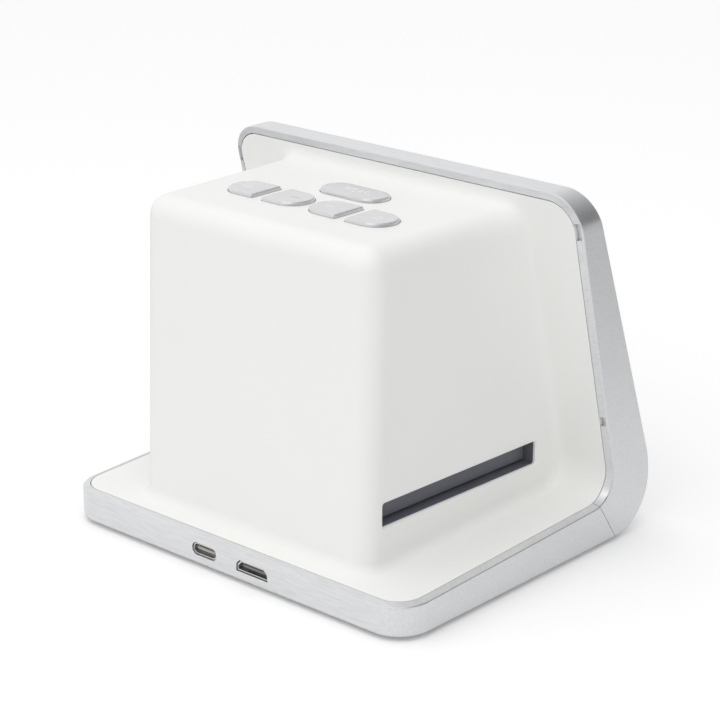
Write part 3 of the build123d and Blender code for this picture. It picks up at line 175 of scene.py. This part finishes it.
class Finish:
    """One node material whose patterns lie on Object coordinates, in metres."""

    def __init__(self, name, base, roughness, metallic=0.0, **sockets):
        self.material = bpy.data.materials.new(name)
        self.material.use_nodes = True
        self.tree = self.material.node_tree
        self.tree.nodes.clear()
        self.base = tuple(base)
        self.roughness = roughness
        self.normal = None
        self.shader = self.node("BsdfPrincipled", {"Base Color": (*base, 1), "Roughness": roughness,
                                                   "Metallic": metallic})
        for key, value in sockets.items():
            self.shader.inputs[key.replace("_", " ")].default_value = value
        self.output = self.node("OutputMaterial", {"Surface": self.shader.outputs["BSDF"]})
        self.coords = self.node("TexCoord").outputs["Object"]

    def node(self, kind, inputs=None, **settings):
        return add_node(self.tree, "ShaderNode" + kind, inputs, **settings)

    def placed(self, stretch=(1, 1, 1)):
        """Object coordinates, stretched for one pattern."""
        return self.node("Mapping", {"Vector": self.coords, "Scale": stretch}).outputs["Vector"]

    def noise(self, size, detail=3.0, stretch=(1, 1, 1)):
        """Noise whose features are about size metres across."""
        pattern = self.node("TexNoise", {"Vector": self.placed(stretch), "Scale": 1 / size, "Detail": detail})
        return pattern.outputs["Fac"]

    def cells(self, size):
        """Distance to the nearest of points that lie about size metres apart."""
        return self.node("TexVoronoi", {"Vector": self.placed(), "Scale": 1 / size}).outputs["Distance"]

    def to_range(self, value, low, high, out_low, out_high):
        """Value, moved from the range low to high to the range out_low to out_high."""
        return self.node("MapRange", {"Value": value, "From Min": low, "From Max": high,
                                      "To Min": out_low, "To Max": out_high}).outputs["Result"]

    def math(self, operation, *values):
        return self.node("Math", dict(enumerate(values)), operation=operation).outputs["Value"]

    def vary_colour(self, value, low, high, other):
        """Shift the base colour towards other where value runs from low to high."""
        factor = self.to_range(value, low, high, 0.0, 1.0)
        socket = self.shader.inputs["Base Color"]
        first = socket.links[0].from_socket if socket.links else (*self.base, 1)
        mix = self.node("Mix", {"Factor": factor}, data_type="RGBA")
        for end, tint in (("A", first), ("B", (*other, 1))):
            into = [s for s in mix.inputs if s.name == end and s.type == "RGBA"][0]
            if isinstance(tint, bpy.types.NodeSocket):
                self.tree.links.new(tint, into)
            else:
                into.default_value = tint
        result = [s for s in mix.outputs if s.type == "RGBA"][0]
        self.tree.links.new(result, socket)
        return self

    def vary_roughness(self, value, spread, low=0.3, high=0.7):
        """Roughness runs from its own level minus spread to plus spread."""
        result = self.to_range(value, low, high, self.roughness - spread, self.roughness + spread)
        self.tree.links.new(result, self.shader.inputs["Roughness"])
        return self

    def bump(self, height, strength, depth):
        """Bump of depth metres; later calls lie over earlier ones."""
        inputs = {"Height": height, "Strength": strength, "Distance": depth}
        if self.normal:
            inputs["Normal"] = self.normal
        self.normal = self.node("Bump", inputs).outputs["Normal"]
        self.tree.links.new(self.normal, self.shader.inputs["Normal"])
        return self


def mixed(colour_a, colour_b, amount):
    """The first colour, moved by amount towards the second."""
    return tuple(a + (b - a) * amount for a, b in zip(colour_a, colour_b))


def wear_finish(finish, *names):
    """Give CAD nodes a finish, in all their slots."""
    for name in names:
        mesh = NODES[name].data
        mesh.materials.clear()
        mesh.materials.append(finish.material)


def moulded(name, base, roughness, grain=0.35 * MM, depth=0.012 * MM, strength=0.35, **sockets):
    """Spark-textured moulded plastic with faint flow clouds and handling sheen."""
    finish = Finish(name, base, roughness, **sockets)
    clouds = finish.noise(38 * MM, 2.0)
    finish.vary_colour(clouds, 0.35, 0.75, mixed(base, (0.5, 0.49, 0.46), 0.035))
    finish.vary_roughness(finish.noise(14 * MM, 4.0), 0.04)
    finish.bump(finish.noise(grain, 2.0), strength, depth)
    return finish


def satin_paint(name, base, roughness, metallic=0.82):
    """Silver paint: metal flakes under a thin lacquer, faint streaks along X and a fine orange peel."""
    finish = Finish(name, base, roughness, metallic, Coat_Weight=0.18, Coat_Roughness=0.22)
    flakes = finish.cells(0.16 * MM)
    finish.vary_colour(flakes, 0.15, 0.75, mixed(base, WHITE, 0.10))
    streaks = finish.noise(0.45 * MM, 4.0, stretch=(0.09, 1, 1))
    finish.vary_colour(streaks, 0.40, 0.68, mixed(base, BLACK, 0.07))
    finish.vary_roughness(finish.noise(9 * MM, 4.0), 0.035)
    finish.bump(flakes, 0.06, 0.01 * MM)
    finish.bump(streaks, 0.10, 0.01 * MM)
    finish.bump(finish.noise(0.9 * MM, 2.0), 0.12, 0.01 * MM)
    return finish


def brushed(name, base, roughness, along=(1, 1, 1), size=0.12 * MM):
    """Drawn or rolled metal with fine lines and dull patches."""
    finish = Finish(name, base, roughness, metallic=1.0)
    lines = finish.noise(size, 3.0, stretch=along)
    finish.vary_roughness(lines, 0.08)
    finish.vary_colour(finish.noise(3 * MM, 3.0), 0.4, 0.7, mixed(base, (0.3, 0.3, 0.3), 0.18))
    finish.bump(lines, 0.15, 0.01 * MM)
    return finish


def rubber(name, base):
    """Dull rubber or foam with a grainy face."""
    finish = Finish(name, base, 0.78, Specular_IOR_Level=0.3)
    finish.vary_colour(finish.noise(1.5 * MM, 5.0), 0.45, 0.75, mixed(base, (0.35, 0.34, 0.32), 0.25))
    finish.bump(finish.noise(0.25 * MM, 3.0), 0.5, 0.03 * MM)
    return finish


def circuit_board(name, base, copper):
    """Solder mask over tracks: fine lines both ways, and a few bare pads."""
    finish = Finish(name, base, 0.35, Coat_Weight=0.3)
    tracks = finish.node("TexBrick", {"Vector": finish.placed(), "Scale": 260.0, "Mortar Size": 0.06,
                                      "Brick Width": 0.9, "Row Height": 0.22}).outputs["Fac"]
    finish.vary_colour(tracks, 0.2, 0.9, mixed(base, copper, 0.22))
    dots = finish.cells(2.1 * MM)
    finish.vary_colour(dots, 0.13, 0.10, copper)
    finish.bump(tracks, 0.25, 0.03 * MM)
    return finish


# ---- mesh helpers -----------------------------------------------------------------------
def new_piece(name, mesh, body, material=None):
    """Link a finished mesh at the origin, riding on its body."""
    piece = bpy.data.objects.new(name, mesh)
    bpy.context.scene.collection.objects.link(piece)
    if material:
        mesh.materials.clear()
        mesh.materials.append(material)
    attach(piece, body)


def plates_mesh(name, outlines, low, high):
    """Mesh of flat closed outlines, in XY, each standing from low to high."""
    mesh = bpy.data.meshes.new(name)
    shape = bmesh.new()
    for outline in outlines:
        lower = [shape.verts.new((x, y, low)) for x, y in outline]
        upper = [shape.verts.new((x, y, high)) for x, y in outline]
        shape.faces.new(reversed(lower))
        shape.faces.new(upper)
        for i, corner in enumerate(lower):
            following = (i + 1) % len(lower)
            shape.faces.new((corner, lower[following], upper[following], upper[i]))
    bmesh.ops.recalc_face_normals(shape, faces=shape.faces)
    shape.to_mesh(mesh)
    shape.free()
    return mesh


def arc_band(x, y, radius, stroke, start, end, steps=28):
    """Outline of a stroke bent round a centre, from one angle to another."""
    angles = [radians(start + (end - start) * i / steps) for i in range(steps + 1)]
    far, near = radius + stroke / 2, radius - stroke / 2
    outer = [(x + far * cos(a), y + far * sin(a)) for a in angles]
    inner = [(x + near * cos(a), y + near * sin(a)) for a in reversed(angles)]
    return outer + inner


def stroke_bar(x, y, long, stroke, angle=0.0):
    """Outline of a straight stroke about its middle."""
    c, s = cos(radians(angle)), sin(radians(angle))
    half, side = long / 2, stroke / 2
    corners = [(-half, -side), (half, -side), (half, side), (-half, side)]
    return [(x + u * c - v * s, y + u * s + v * c) for u, v in corners]


def baked(carrier, name):
    """Plain mesh of an object's finished modifiers; the carrier is removed."""
    bpy.context.view_layer.update()
    seen = carrier.evaluated_get(bpy.context.evaluated_depsgraph_get())
    mesh = bpy.data.meshes.new_from_object(seen)
    mesh.name = name
    bpy.data.objects.remove(carrier)
    return mesh


class Repeater:
    """A Geometry Nodes tree that lays copies of a small block along a row or round a ring."""

    def __init__(self, name, material):
        self.tree = bpy.data.node_groups.new(name, "GeometryNodeTree")
        self.tree.interface.new_socket("Geometry", in_out="OUTPUT", socket_type="NodeSocketGeometry")
        self.values = {}
        self.given = self.node("NodeGroupInput")
        self.material = material
        self.name = name

    def number(self, name, value, kind="NodeSocketFloat"):
        """Add a named input and return its socket inside the tree."""
        socket = self.tree.interface.new_socket(name, in_out="INPUT", socket_type=kind)
        self.values[socket.identifier] = value
        return self.given.outputs[name]

    def node(self, kind, inputs=None, **settings):
        return add_node(self.tree, kind, inputs, **settings)

    def finish(self, instances):
        """End the tree, run it once and return the plain mesh."""
        solid = self.node("GeometryNodeRealizeInstances", {"Geometry": instances})
        dressed = self.node("GeometryNodeSetMaterial", {"Geometry": solid.outputs["Geometry"],
                                                        "Material": self.material})
        self.node("NodeGroupOutput", {"Geometry": dressed.outputs["Geometry"]})
        carrier = bpy.data.objects.new(self.name, bpy.data.meshes.new(self.name))
        bpy.context.scene.collection.objects.link(carrier)
        modifier = carrier.modifiers.new(self.name, "NODES")
        modifier.node_group = self.tree
        for identifier, value in self.values.items():
            modifier[identifier] = value
        return baked(carrier, self.name)


def contact_row(name, material, count, pitch, size, centre):
    """Row of contact strips along X about a centre."""
    tree = Repeater(name, material)
    number = tree.number("Contacts", count, "NodeSocketInt")
    step = tree.number("Pitch", pitch)
    strip = tree.number("Strip", size, "NodeSocketVector")
    middle = tree.number("Middle", centre, "NodeSocketVector")
    offset = tree.node("ShaderNodeCombineXYZ", {"X": step})
    line = tree.node("GeometryNodeMeshLine", {"Count": number, "Offset": offset.outputs["Vector"]})
    last = tree.node("ShaderNodeMath", {0: number, 1: 1.0}, operation="SUBTRACT")
    reach = tree.node("ShaderNodeMath", {0: last.outputs["Value"], 1: step}, operation="MULTIPLY")
    half = tree.node("ShaderNodeMath", {0: reach.outputs["Value"], 1: -0.5}, operation="MULTIPLY")
    back = tree.node("ShaderNodeCombineXYZ", {"X": half.outputs["Value"]})
    place = tree.node("ShaderNodeVectorMath", {0: middle, 1: back.outputs["Vector"]}, operation="ADD")
    block = tree.node("GeometryNodeMeshCube", {"Size": strip})
    copies = tree.node("GeometryNodeInstanceOnPoints", {"Points": line.outputs["Mesh"],
                                                        "Instance": block.outputs["Mesh"]})
    moved = tree.node("GeometryNodeTransform", {"Geometry": copies.outputs["Instances"],
                                                "Translation": place.outputs["Vector"]})
    return tree.finish(moved.outputs["Geometry"])


def ridge_ring(name, material, count, radius, size, centre):
    """Upright ridges round a ring."""
    tree = Repeater(name, material)
    number = tree.number("Ridges", count, "NodeSocketInt")
    reach = tree.number("Radius", radius)
    ridge = tree.number("Ridge", size, "NodeSocketVector")
    middle = tree.number("Middle", centre, "NodeSocketVector")
    circle = tree.node("GeometryNodeMeshCircle", {"Vertices": number, "Radius": reach})
    block = tree.node("GeometryNodeMeshCube", {"Size": ridge})
    outward = tree.node("GeometryNodeInputPosition")
    aim = tree.node("FunctionNodeAlignRotationToVector", {"Vector": outward.outputs["Position"]}, axis="X")
    copies = tree.node("GeometryNodeInstanceOnPoints", {
        "Points": circle.outputs["Mesh"], "Instance": block.outputs["Mesh"],
        "Rotation": aim.outputs["Rotation"]})
    moved = tree.node("GeometryNodeTransform", {"Geometry": copies.outputs["Instances"],
                                                "Translation": middle})
    return tree.finish(moved.outputs["Geometry"])


# ---- one operator for each group --------------------------------------------------------
class ScannerOperator:
    bl_options = {"REGISTER", "UNDO"}

    @staticmethod
    def look():
        return bpy.context.scene.scanner_finish

    @staticmethod
    def sizes():
        return bpy.context.scene.scanner_detail


class SCANNER_OT_housing(ScannerOperator, bpy.types.Operator):
    """Finish the white one-piece housing and the bottom cover"""
    bl_idname = "scanner.housing"
    bl_label = "Housing"

    def execute(self, context):
        look = self.look()
        white = moulded("housing_white", look.white, look.white_roughness)
        wear_finish(white, "rear_housing")
        under = moulded("cover_white", mixed(look.white, (0.3, 0.3, 0.3), 0.12), 0.6, grain=0.7 * MM,
                        depth=0.03 * MM, strength=0.6)
        wear_finish(under, "bottom_cover")
        return {"FINISHED"}


class SCANNER_OT_bands(ScannerOperator, bpy.types.Operator):
    """Finish the two silver bands"""
    bl_idname = "scanner.bands"
    bl_label = "Silver bands"

    def execute(self, context):
        look = self.look()
        silver = satin_paint("band_silver", look.silver, look.silver_roughness)
        wear_finish(silver, "screen_band", "base_band")
        return {"FINISHED"}


class SCANNER_OT_keys(ScannerOperator, bpy.types.Operator):
    """Finish the five keys and print their marks"""
    bl_idname = "scanner.keys"
    bl_label = "Keys"

    def execute(self, context):
        look, sizes = self.look(), self.sizes()
        silver = satin_paint("key_silver", look.key_silver, 0.22, 0.6)
        white = moulded("plunger_white", look.white, 0.4)
        for key in KEYS:
            wear_finish(silver, "key_" + key)
            wear_finish(white, "plunger_" + key)
        ink = self.ink("mark_ink", look.mark)
        pale = self.ink("mark_pale", look.pale_mark)
        for key in KEYS:
            low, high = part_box("key_" + key)
            x, y = (low.x + high.x) / 2, (low.y + high.y) / 2
            outlines = self.mark(key, x, y, sizes.mark_stroke)
            sunk = sizes.mark_thickness / 3     # so that no face lies on the key's own
            mesh = plates_mesh("mark_" + key, outlines, KEY_TOP - sunk, KEY_TOP + 2 * sunk)
            tint = ink if key == "right_inner" else pale
            new_piece("mark_" + key, mesh, "key_" + key, tint.material)
        return {"FINISHED"}

    @staticmethod
    def ink(name, base):
        """Thin print, a little uneven."""
        ink = Finish(name, base, 0.55)
        return ink.vary_colour(ink.noise(0.3 * MM, 3.0), 0.4, 0.7, mixed(base, WHITE, 0.12))

    @staticmethod
    def mark(key, x, y, stroke):
        """Plain signs: a ring, two dashes, an arc, and small rings below slanted bars."""
        if key == "right_outer":
            return [arc_band(x, y, 1.0 * MM, stroke, 0, FULL_RING),
                    stroke_bar(x + 1.7 * MM, y, 1.0 * MM, stroke)]
        if key == "right_inner":
            return [stroke_bar(x - 0.6 * MM, y, 2.8 * MM, stroke)]
        if key == "left_inner":
            return [stroke_bar(x, y, 3.2 * MM, stroke)]
        if key == "left_outer":
            return [arc_band(x, y, 1.2 * MM, stroke, 30, 300),
                    stroke_bar(x + 1.1 * MM, y - 0.9 * MM, 0.9 * MM, stroke, 45)]
        rings = [arc_band(x + step * MM, y - 0.9 * MM, 0.7 * MM, stroke, 0, FULL_RING)
                 for step in (-3.6, -1.2, 1.2, 3.6)]
        bars = [stroke_bar(x + step * MM, y + 1.0 * MM, 1.5 * MM, stroke, 60) for step in (-2.4, 0.0, 2.4)]
        return rings + bars


class SCANNER_OT_screen(ScannerOperator, bpy.types.Operator):
    """Finish the front glass, its gasket and the panel behind it"""
    bl_idname = "scanner.screen"
    bl_label = "Screen"

    def execute(self, context):
        look = self.look()
        glass = Finish("front_glass", look.glass, 0.06, Coat_Weight=1.0, Coat_Roughness=0.03)
        glass.vary_roughness(glass.noise(22 * MM, 5.0), 0.03)
        glass.vary_colour(self.display_mask(glass), 0.0, 1.0, srgb(22, 23, 27))
        wear_finish(glass, "front_glass")
        wear_finish(rubber("gasket_foam", (0.02, 0.02, 0.02)), "glass_gasket")
        panel = Finish("panel_back", srgb(70, 72, 76), 0.3, metallic=0.7)
        panel.vary_roughness(panel.noise(6 * MM, 3.0), 0.06)
        wear_finish(panel, "lcd_panel")
        return {"FINISHED"}

    @staticmethod
    def display_mask(finish):
        """1 over the display area and 0 over the dark border, in the glass's own plane."""
        low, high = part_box("front_glass")
        split = finish.node("SeparateXYZ", {"Vector": finish.coords})
        across = finish.math("LESS_THAN", finish.math("ABSOLUTE", split.outputs["X"]), high.x - BORDER_SIDE)
        above = finish.math("GREATER_THAN", split.outputs["Z"], low.z + BORDER_FOOT)
        below = finish.math("LESS_THAN", split.outputs["Z"], high.z - BORDER_TOP)
        return finish.math("MULTIPLY", across, finish.math("MULTIPLY", above, below))


class SCANNER_OT_passage(ScannerOperator, bpy.types.Operator):
    """Finish the film passage, its flaps, the backlight and the camera"""
    bl_idname = "scanner.passage"
    bl_label = "Film passage and camera"

    def execute(self, context):
        look = self.look()
        # The flaps and the passage lining both take the lightened flap grey. This is painted light for the
        # slot's deep shade.
        flap = moulded("flap_dark", look.flap, 0.5, grain=0.2 * MM, depth=0.01 * MM)
        wear_finish(flap, "flap_left", "flap_right")
        lining = moulded("passage_grey", mixed(look.flap, BLACK, 0.1), 0.6, grain=0.3 * MM, depth=0.02 * MM)
        wear_finish(lining, "film_tray", "film_roof")
        black = moulded("passage_black", srgb(38, 38, 41), 0.6, grain=0.3 * MM, depth=0.02 * MM)
        wear_finish(black, "camera_tower", "lens_holder", "key_switches")
        self.backlight()
        self.camera_lens(self.sizes().knurls)
        return {"FINISHED"}

    @staticmethod
    def backlight():
        """The opal sheet under the film, the white box below it and its lamps."""
        opal = Finish("opal", srgb(238, 238, 232), 0.3, Subsurface_Weight=0.4, Subsurface_Scale=0.002)
        opal.vary_roughness(opal.noise(4 * MM, 3.0), 0.04)
        wear_finish(opal, "diffuser")
        wear_finish(moulded("light_box_white", srgb(240, 240, 236), 0.5), "light_box")
        lamp = Finish("lamp_yellow", srgb(236, 214, 120), 0.25, Coat_Weight=0.5)
        lamp.vary_colour(lamp.cells(1.2 * MM), 0.2, 0.7, srgb(250, 240, 205))
        wear_finish(lamp, "backlight_leds")

    @staticmethod
    def camera_lens(knurls):
        """The lenses and their barrel, with ridges round its lowest quarter."""
        barrel = brushed("barrel_black", srgb(34, 34, 36), 0.35, along=(1, 1, 8))
        wear_finish(barrel, "lens_barrel")
        lens = Finish("lens_glass", (0.9, 0.93, 0.97), 0.02, Transmission_Weight=1.0, IOR=1.6)
        lens.vary_colour(lens.noise(6 * MM, 1.0), 0.3, 0.7, (0.75, 0.85, 0.98))
        wear_finish(lens, "front_lens", "rear_lens")
        low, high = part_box("lens_barrel")
        middle = (low + high) / 2
        ring_h = (high.z - low.z) / 4
        mesh = ridge_ring("barrel_knurl", barrel.material, knurls, (high.x - low.x) / 2,
                          (RIDGE_W, RIDGE_L, ring_h * 0.8), (middle.x, middle.y, low.z + ring_h / 2))
        new_piece("barrel_knurl", mesh, ROOT)


class SCANNER_OT_sockets(ScannerOperator, bpy.types.Operator):
    """Finish the sockets and lay their contacts"""
    bl_idname = "scanner.sockets"
    bl_label = "Sockets"

    def execute(self, context):
        sizes = self.sizes()
        metal = brushed("socket_metal", srgb(214, 214, 210), 0.22, along=(1, 6, 1))
        wear_finish(metal, "usb_c_shell", "hdmi_shell", "card_socket")
        # Both tongue greys are lightened so the tongues read bright inside the shaded sockets. This is
        # painted light.
        wear_finish(moulded("usb_tongue", srgb(176, 176, 178), 0.45), "usb_c_tongue")
        wear_finish(moulded("hdmi_tongue", srgb(124, 124, 128), 0.45), "hdmi_tongue")
        gold = brushed("contact_gold", srgb(224, 178, 96), 0.25, along=(1, 4, 1))
        self.contacts("usb", "usb_c_tongue", sizes.usb_contacts, USB_PITCH, gold.material)
        self.contacts("hdmi", "hdmi_tongue", sizes.hdmi_contacts, HDMI_PITCH, gold.material)
        return {"FINISHED"}

    @staticmethod
    def contacts(word, node, count, pitch, material):
        """Contact strips on both faces of a socket's tongue, ahead of its foot."""
        low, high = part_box(node)
        middle = (low + high) / 2
        strip = (CONTACT_W, TONGUE_REACH * 0.8, CONTACT_T)
        for face, up in (("upper", 1), ("lower", -1)):
            place = (middle.x, high.y - TONGUE_REACH * 0.55, middle.z + up * TONGUE_T / 2)
            mesh = contact_row(word + "_contacts_" + face, material, count, pitch, strip, place)
            new_piece(word + "_contacts_" + face, mesh, ROOT)


class SCANNER_OT_inside(ScannerOperator, bpy.types.Operator):
    """Finish the boards, cables, screws, pins, springs and the screen's bracket"""
    bl_idname = "scanner.inside"
    bl_label = "Boards and fasteners"

    def execute(self, context):
        board = circuit_board("board_green", srgb(24, 92, 54), srgb(206, 160, 92))
        wear_finish(board, "main_board", "key_board", "sensor_board")
        lamp_board = circuit_board("board_white", srgb(226, 227, 222), srgb(190, 150, 90))
        wear_finish(lamp_board, "backlight_board")
        chip = moulded("chip_black", srgb(28, 28, 30), 0.4, grain=0.15 * MM)
        wear_finish(chip, "board_parts", "image_sensor")
        steel = brushed("screw_steel", srgb(170, 171, 173), 0.3, along=(4, 4, 1))
        wear_finish(steel, *[name for name in NODES if name.endswith("_screws")])
        wear_finish(steel, "flap_pin_left", "flap_pin_right", "flap_spring_left", "flap_spring_right")
        plate = brushed("bracket_steel", srgb(188, 190, 192), 0.36, along=(0.05, 1, 1))
        wear_finish(plate, "lcd_bracket")
        cable = Finish("ribbon_amber", srgb(196, 132, 58), 0.3, Coat_Weight=0.4)
        wave = cable.node("TexWave", {"Vector": cable.coords, "Scale": 700.0}, bands_direction="X")
        lines = wave.outputs["Fac"]
        cable.vary_colour(lines, 0.55, 0.75, srgb(140, 84, 34))
        cable.bump(lines, 0.2, 0.02 * MM)
        wear_finish(cable, "lcd_ribbon", "camera_ribbon", "key_ribbon")
        return {"FINISHED"}


class SCANNER_OT_feet(ScannerOperator, bpy.types.Operator):
    """Finish the four rubber feet"""
    bl_idname = "scanner.feet"
    bl_label = "Feet"

    def execute(self, context):
        foot = rubber("foot_rubber", srgb(58, 58, 60))
        wear_finish(foot, *[name for name in NODES if name.startswith("foot_")])
        return {"FINISHED"}


class SCANNER_OT_stage(ScannerOperator, bpy.types.Operator):
    """Set up the floor, the soft light and the camera"""
    bl_idname = "scanner.stage"
    bl_label = "Studio"

    def execute(self, context):
        stage = context.scene.scanner_stage
        self.floor(stage)
        self.world(context.scene, stage)
        self.lamp("fill_light", stage.fill_power, FILL_SIZE, FILL_PLACE)
        self.lamp("top_light", stage.top_power, TOP_SIZE, TOP_PLACE)
        self.camera(context.scene, stage)
        context.scene.view_settings.view_transform = "Standard"
        return {"FINISHED"}

    @staticmethod
    def floor(stage):
        """A pale paper floor, which the camera sees a little brighter than it is lit."""
        mesh = bpy.data.meshes.new("floor")
        corners = [(x * FLOOR_REACH, y * FLOOR_REACH, 0) for x, y in ((-1, -1), (1, -1), (1, 1), (-1, 1))]
        mesh.from_pydata(corners, [], [(0, 1, 2, 3)])
        plane = bpy.data.objects.new("floor", mesh)
        bpy.context.scene.collection.objects.link(plane)
        paper = Finish("floor_paper", stage.floor, 0.9, Specular_IOR_Level=0.1)
        rays = paper.node("LightPath").outputs
        away = paper.node("VectorMath", {0: paper.coords}, operation="LENGTH").outputs["Value"]
        dim = paper.math("MULTIPLY", paper.to_range(away, PAPER_NEAR, PAPER_FAR, 0.0, 1.0),
                         rays["Is Glossy Ray"])
        paper.vary_colour(dim, 0.0, 1.0, mixed(stage.floor, BLACK, PAPER_DIM))
        plain = paper.shader.outputs["BSDF"]
        glow = paper.node("Emission", {"Strength": PAPER_GLOW})
        both = paper.node("AddShader", {0: plain, 1: glow.outputs["Emission"]})
        pick = paper.node("MixShader", {"Fac": rays["Is Camera Ray"], 1: plain, 2: both.outputs["Shader"]})
        paper.tree.links.new(pick.outputs["Shader"], paper.output.inputs["Surface"])
        mesh.materials.append(paper.material)

    @classmethod
    def world(cls, scene, stage):
        """White for the camera, and a soft sky each for dull faces and for shiny ones."""
        world = bpy.data.worlds.new("studio")
        scene.world = world
        world.use_nodes = True
        tree = world.node_tree
        tree.nodes.clear()
        rays = add_node(tree, "ShaderNodeLightPath").outputs
        soft = cls.sky(tree, stage.soft_level, stage.soft_slope, SOFT_LIMIT)
        mirrored = cls.sky(tree, stage.mirror_level, stage.mirror_slope, stage.mirror_limit)
        lit = add_node(tree, "ShaderNodeMixShader", {"Fac": rays["Is Glossy Ray"], 1: soft, 2: mirrored})
        seen = add_node(tree, "ShaderNodeBackground", {"Color": (*WHITE, 1), "Strength": 1.0})
        direct = add_node(tree, "ShaderNodeMath", {0: rays["Is Camera Ray"], 1: rays["Is Transmission Ray"]},
                          operation="MAXIMUM")
        pick = add_node(tree, "ShaderNodeMixShader", {"Fac": direct.outputs["Value"],
                                                      1: lit.outputs["Shader"],
                                                      2: seen.outputs["Background"]})
        add_node(tree, "ShaderNodeOutputWorld", {"Surface": pick.outputs["Shader"]})

    @staticmethod
    def sky(tree, middle, steps, most):
        """White light whose level grows along a slope, up to a limit."""
        way = add_node(tree, "ShaderNodeTexCoord")
        rise = add_node(tree, "ShaderNodeVectorMath", {0: way.outputs["Generated"], 1: steps},
                        operation="DOT_PRODUCT")
        strength = add_node(tree, "ShaderNodeMath", {0: rise.outputs["Value"], 1: middle}, operation="ADD")
        limit = add_node(tree, "ShaderNodeClamp", {"Value": strength.outputs["Value"], "Min": SKY_LEAST,
                                                   "Max": most})
        light = add_node(tree, "ShaderNodeBackground", {"Color": (*WHITE, 1),
                                                        "Strength": limit.outputs["Result"]})
        return light.outputs["Background"]

    @staticmethod
    def lamp(name, watts, size, place):
        """A square soft light turned to the object."""
        light = bpy.data.lights.new(name, "AREA")
        light.energy = watts
        light.size = size
        lamp = bpy.data.objects.new(name, light)
        bpy.context.scene.collection.objects.link(lamp)
        lamp.location = place
        lamp.rotation_euler = (Vector(LAMP_TARGET) - Vector(place)).to_track_quat("-Z", "Y").to_euler()

    @staticmethod
    def camera(scene, stage):
        """The camera that was fitted to the photograph's straight edges."""
        data = bpy.data.cameras.new("camera")
        data.sensor_width = 36.0
        data.lens = stage.lens
        data.clip_start = 0.01
        camera = bpy.data.objects.new("camera", data)
        scene.collection.objects.link(camera)
        aim = (CAMERA_TARGET - CAMERA_PLACE).to_track_quat("-Z", "Y")
        roll = Quaternion((0, 0, 1), radians(CAMERA_ROLL))
        camera.location = CAMERA_PLACE
        camera.rotation_mode = "QUATERNION"
        camera.rotation_quaternion = aim @ roll
        scene.camera = camera


class SCANNER_PT_panel(bpy.types.Panel):
    """Sidebar panel that lists the scanner's pieces"""
    bl_idname = "SCANNER_PT_panel"
    bl_label = "Film Negative Scanner"
    bl_space_type = "VIEW_3D"
    bl_region_type = "UI"
    bl_category = "Scanner"

    def draw(self, context):
        for operator in OPERATORS:
            self.layout.operator(operator.bl_idname)
        for name, kind in SETTINGS:
            box = self.layout.box()
            for setting in kind.__annotations__:
                box.prop(getattr(context.scene, name), setting)


OPERATORS = (SCANNER_OT_housing, SCANNER_OT_bands, SCANNER_OT_keys, SCANNER_OT_screen, SCANNER_OT_passage,
             SCANNER_OT_sockets, SCANNER_OT_inside, SCANNER_OT_feet, SCANNER_OT_stage)
SETTINGS = (("scanner_finish", ScannerFinishSettings), ("scanner_detail", ScannerDetailSettings),
            ("scanner_stage", ScannerStageSettings))


def register():
    for name, group in SETTINGS:
        bpy.utils.register_class(group)
        setattr(bpy.types.Scene, name, PointerProperty(type=group))
    for operator in OPERATORS:
        bpy.utils.register_class(operator)
    bpy.utils.register_class(SCANNER_PT_panel)


def unregister():
    bpy.utils.unregister_class(SCANNER_PT_panel)
    for operator in reversed(OPERATORS):
        bpy.utils.unregister_class(operator)
    for name, group in reversed(SETTINGS):
        delattr(bpy.types.Scene, name)
        bpy.utils.unregister_class(group)


def main():
    register()
    for operator in OPERATORS:
        section, name = operator.bl_idname.split(".")
        getattr(getattr(bpy.ops, section), name)()


if __name__ == "__main__":
    main()
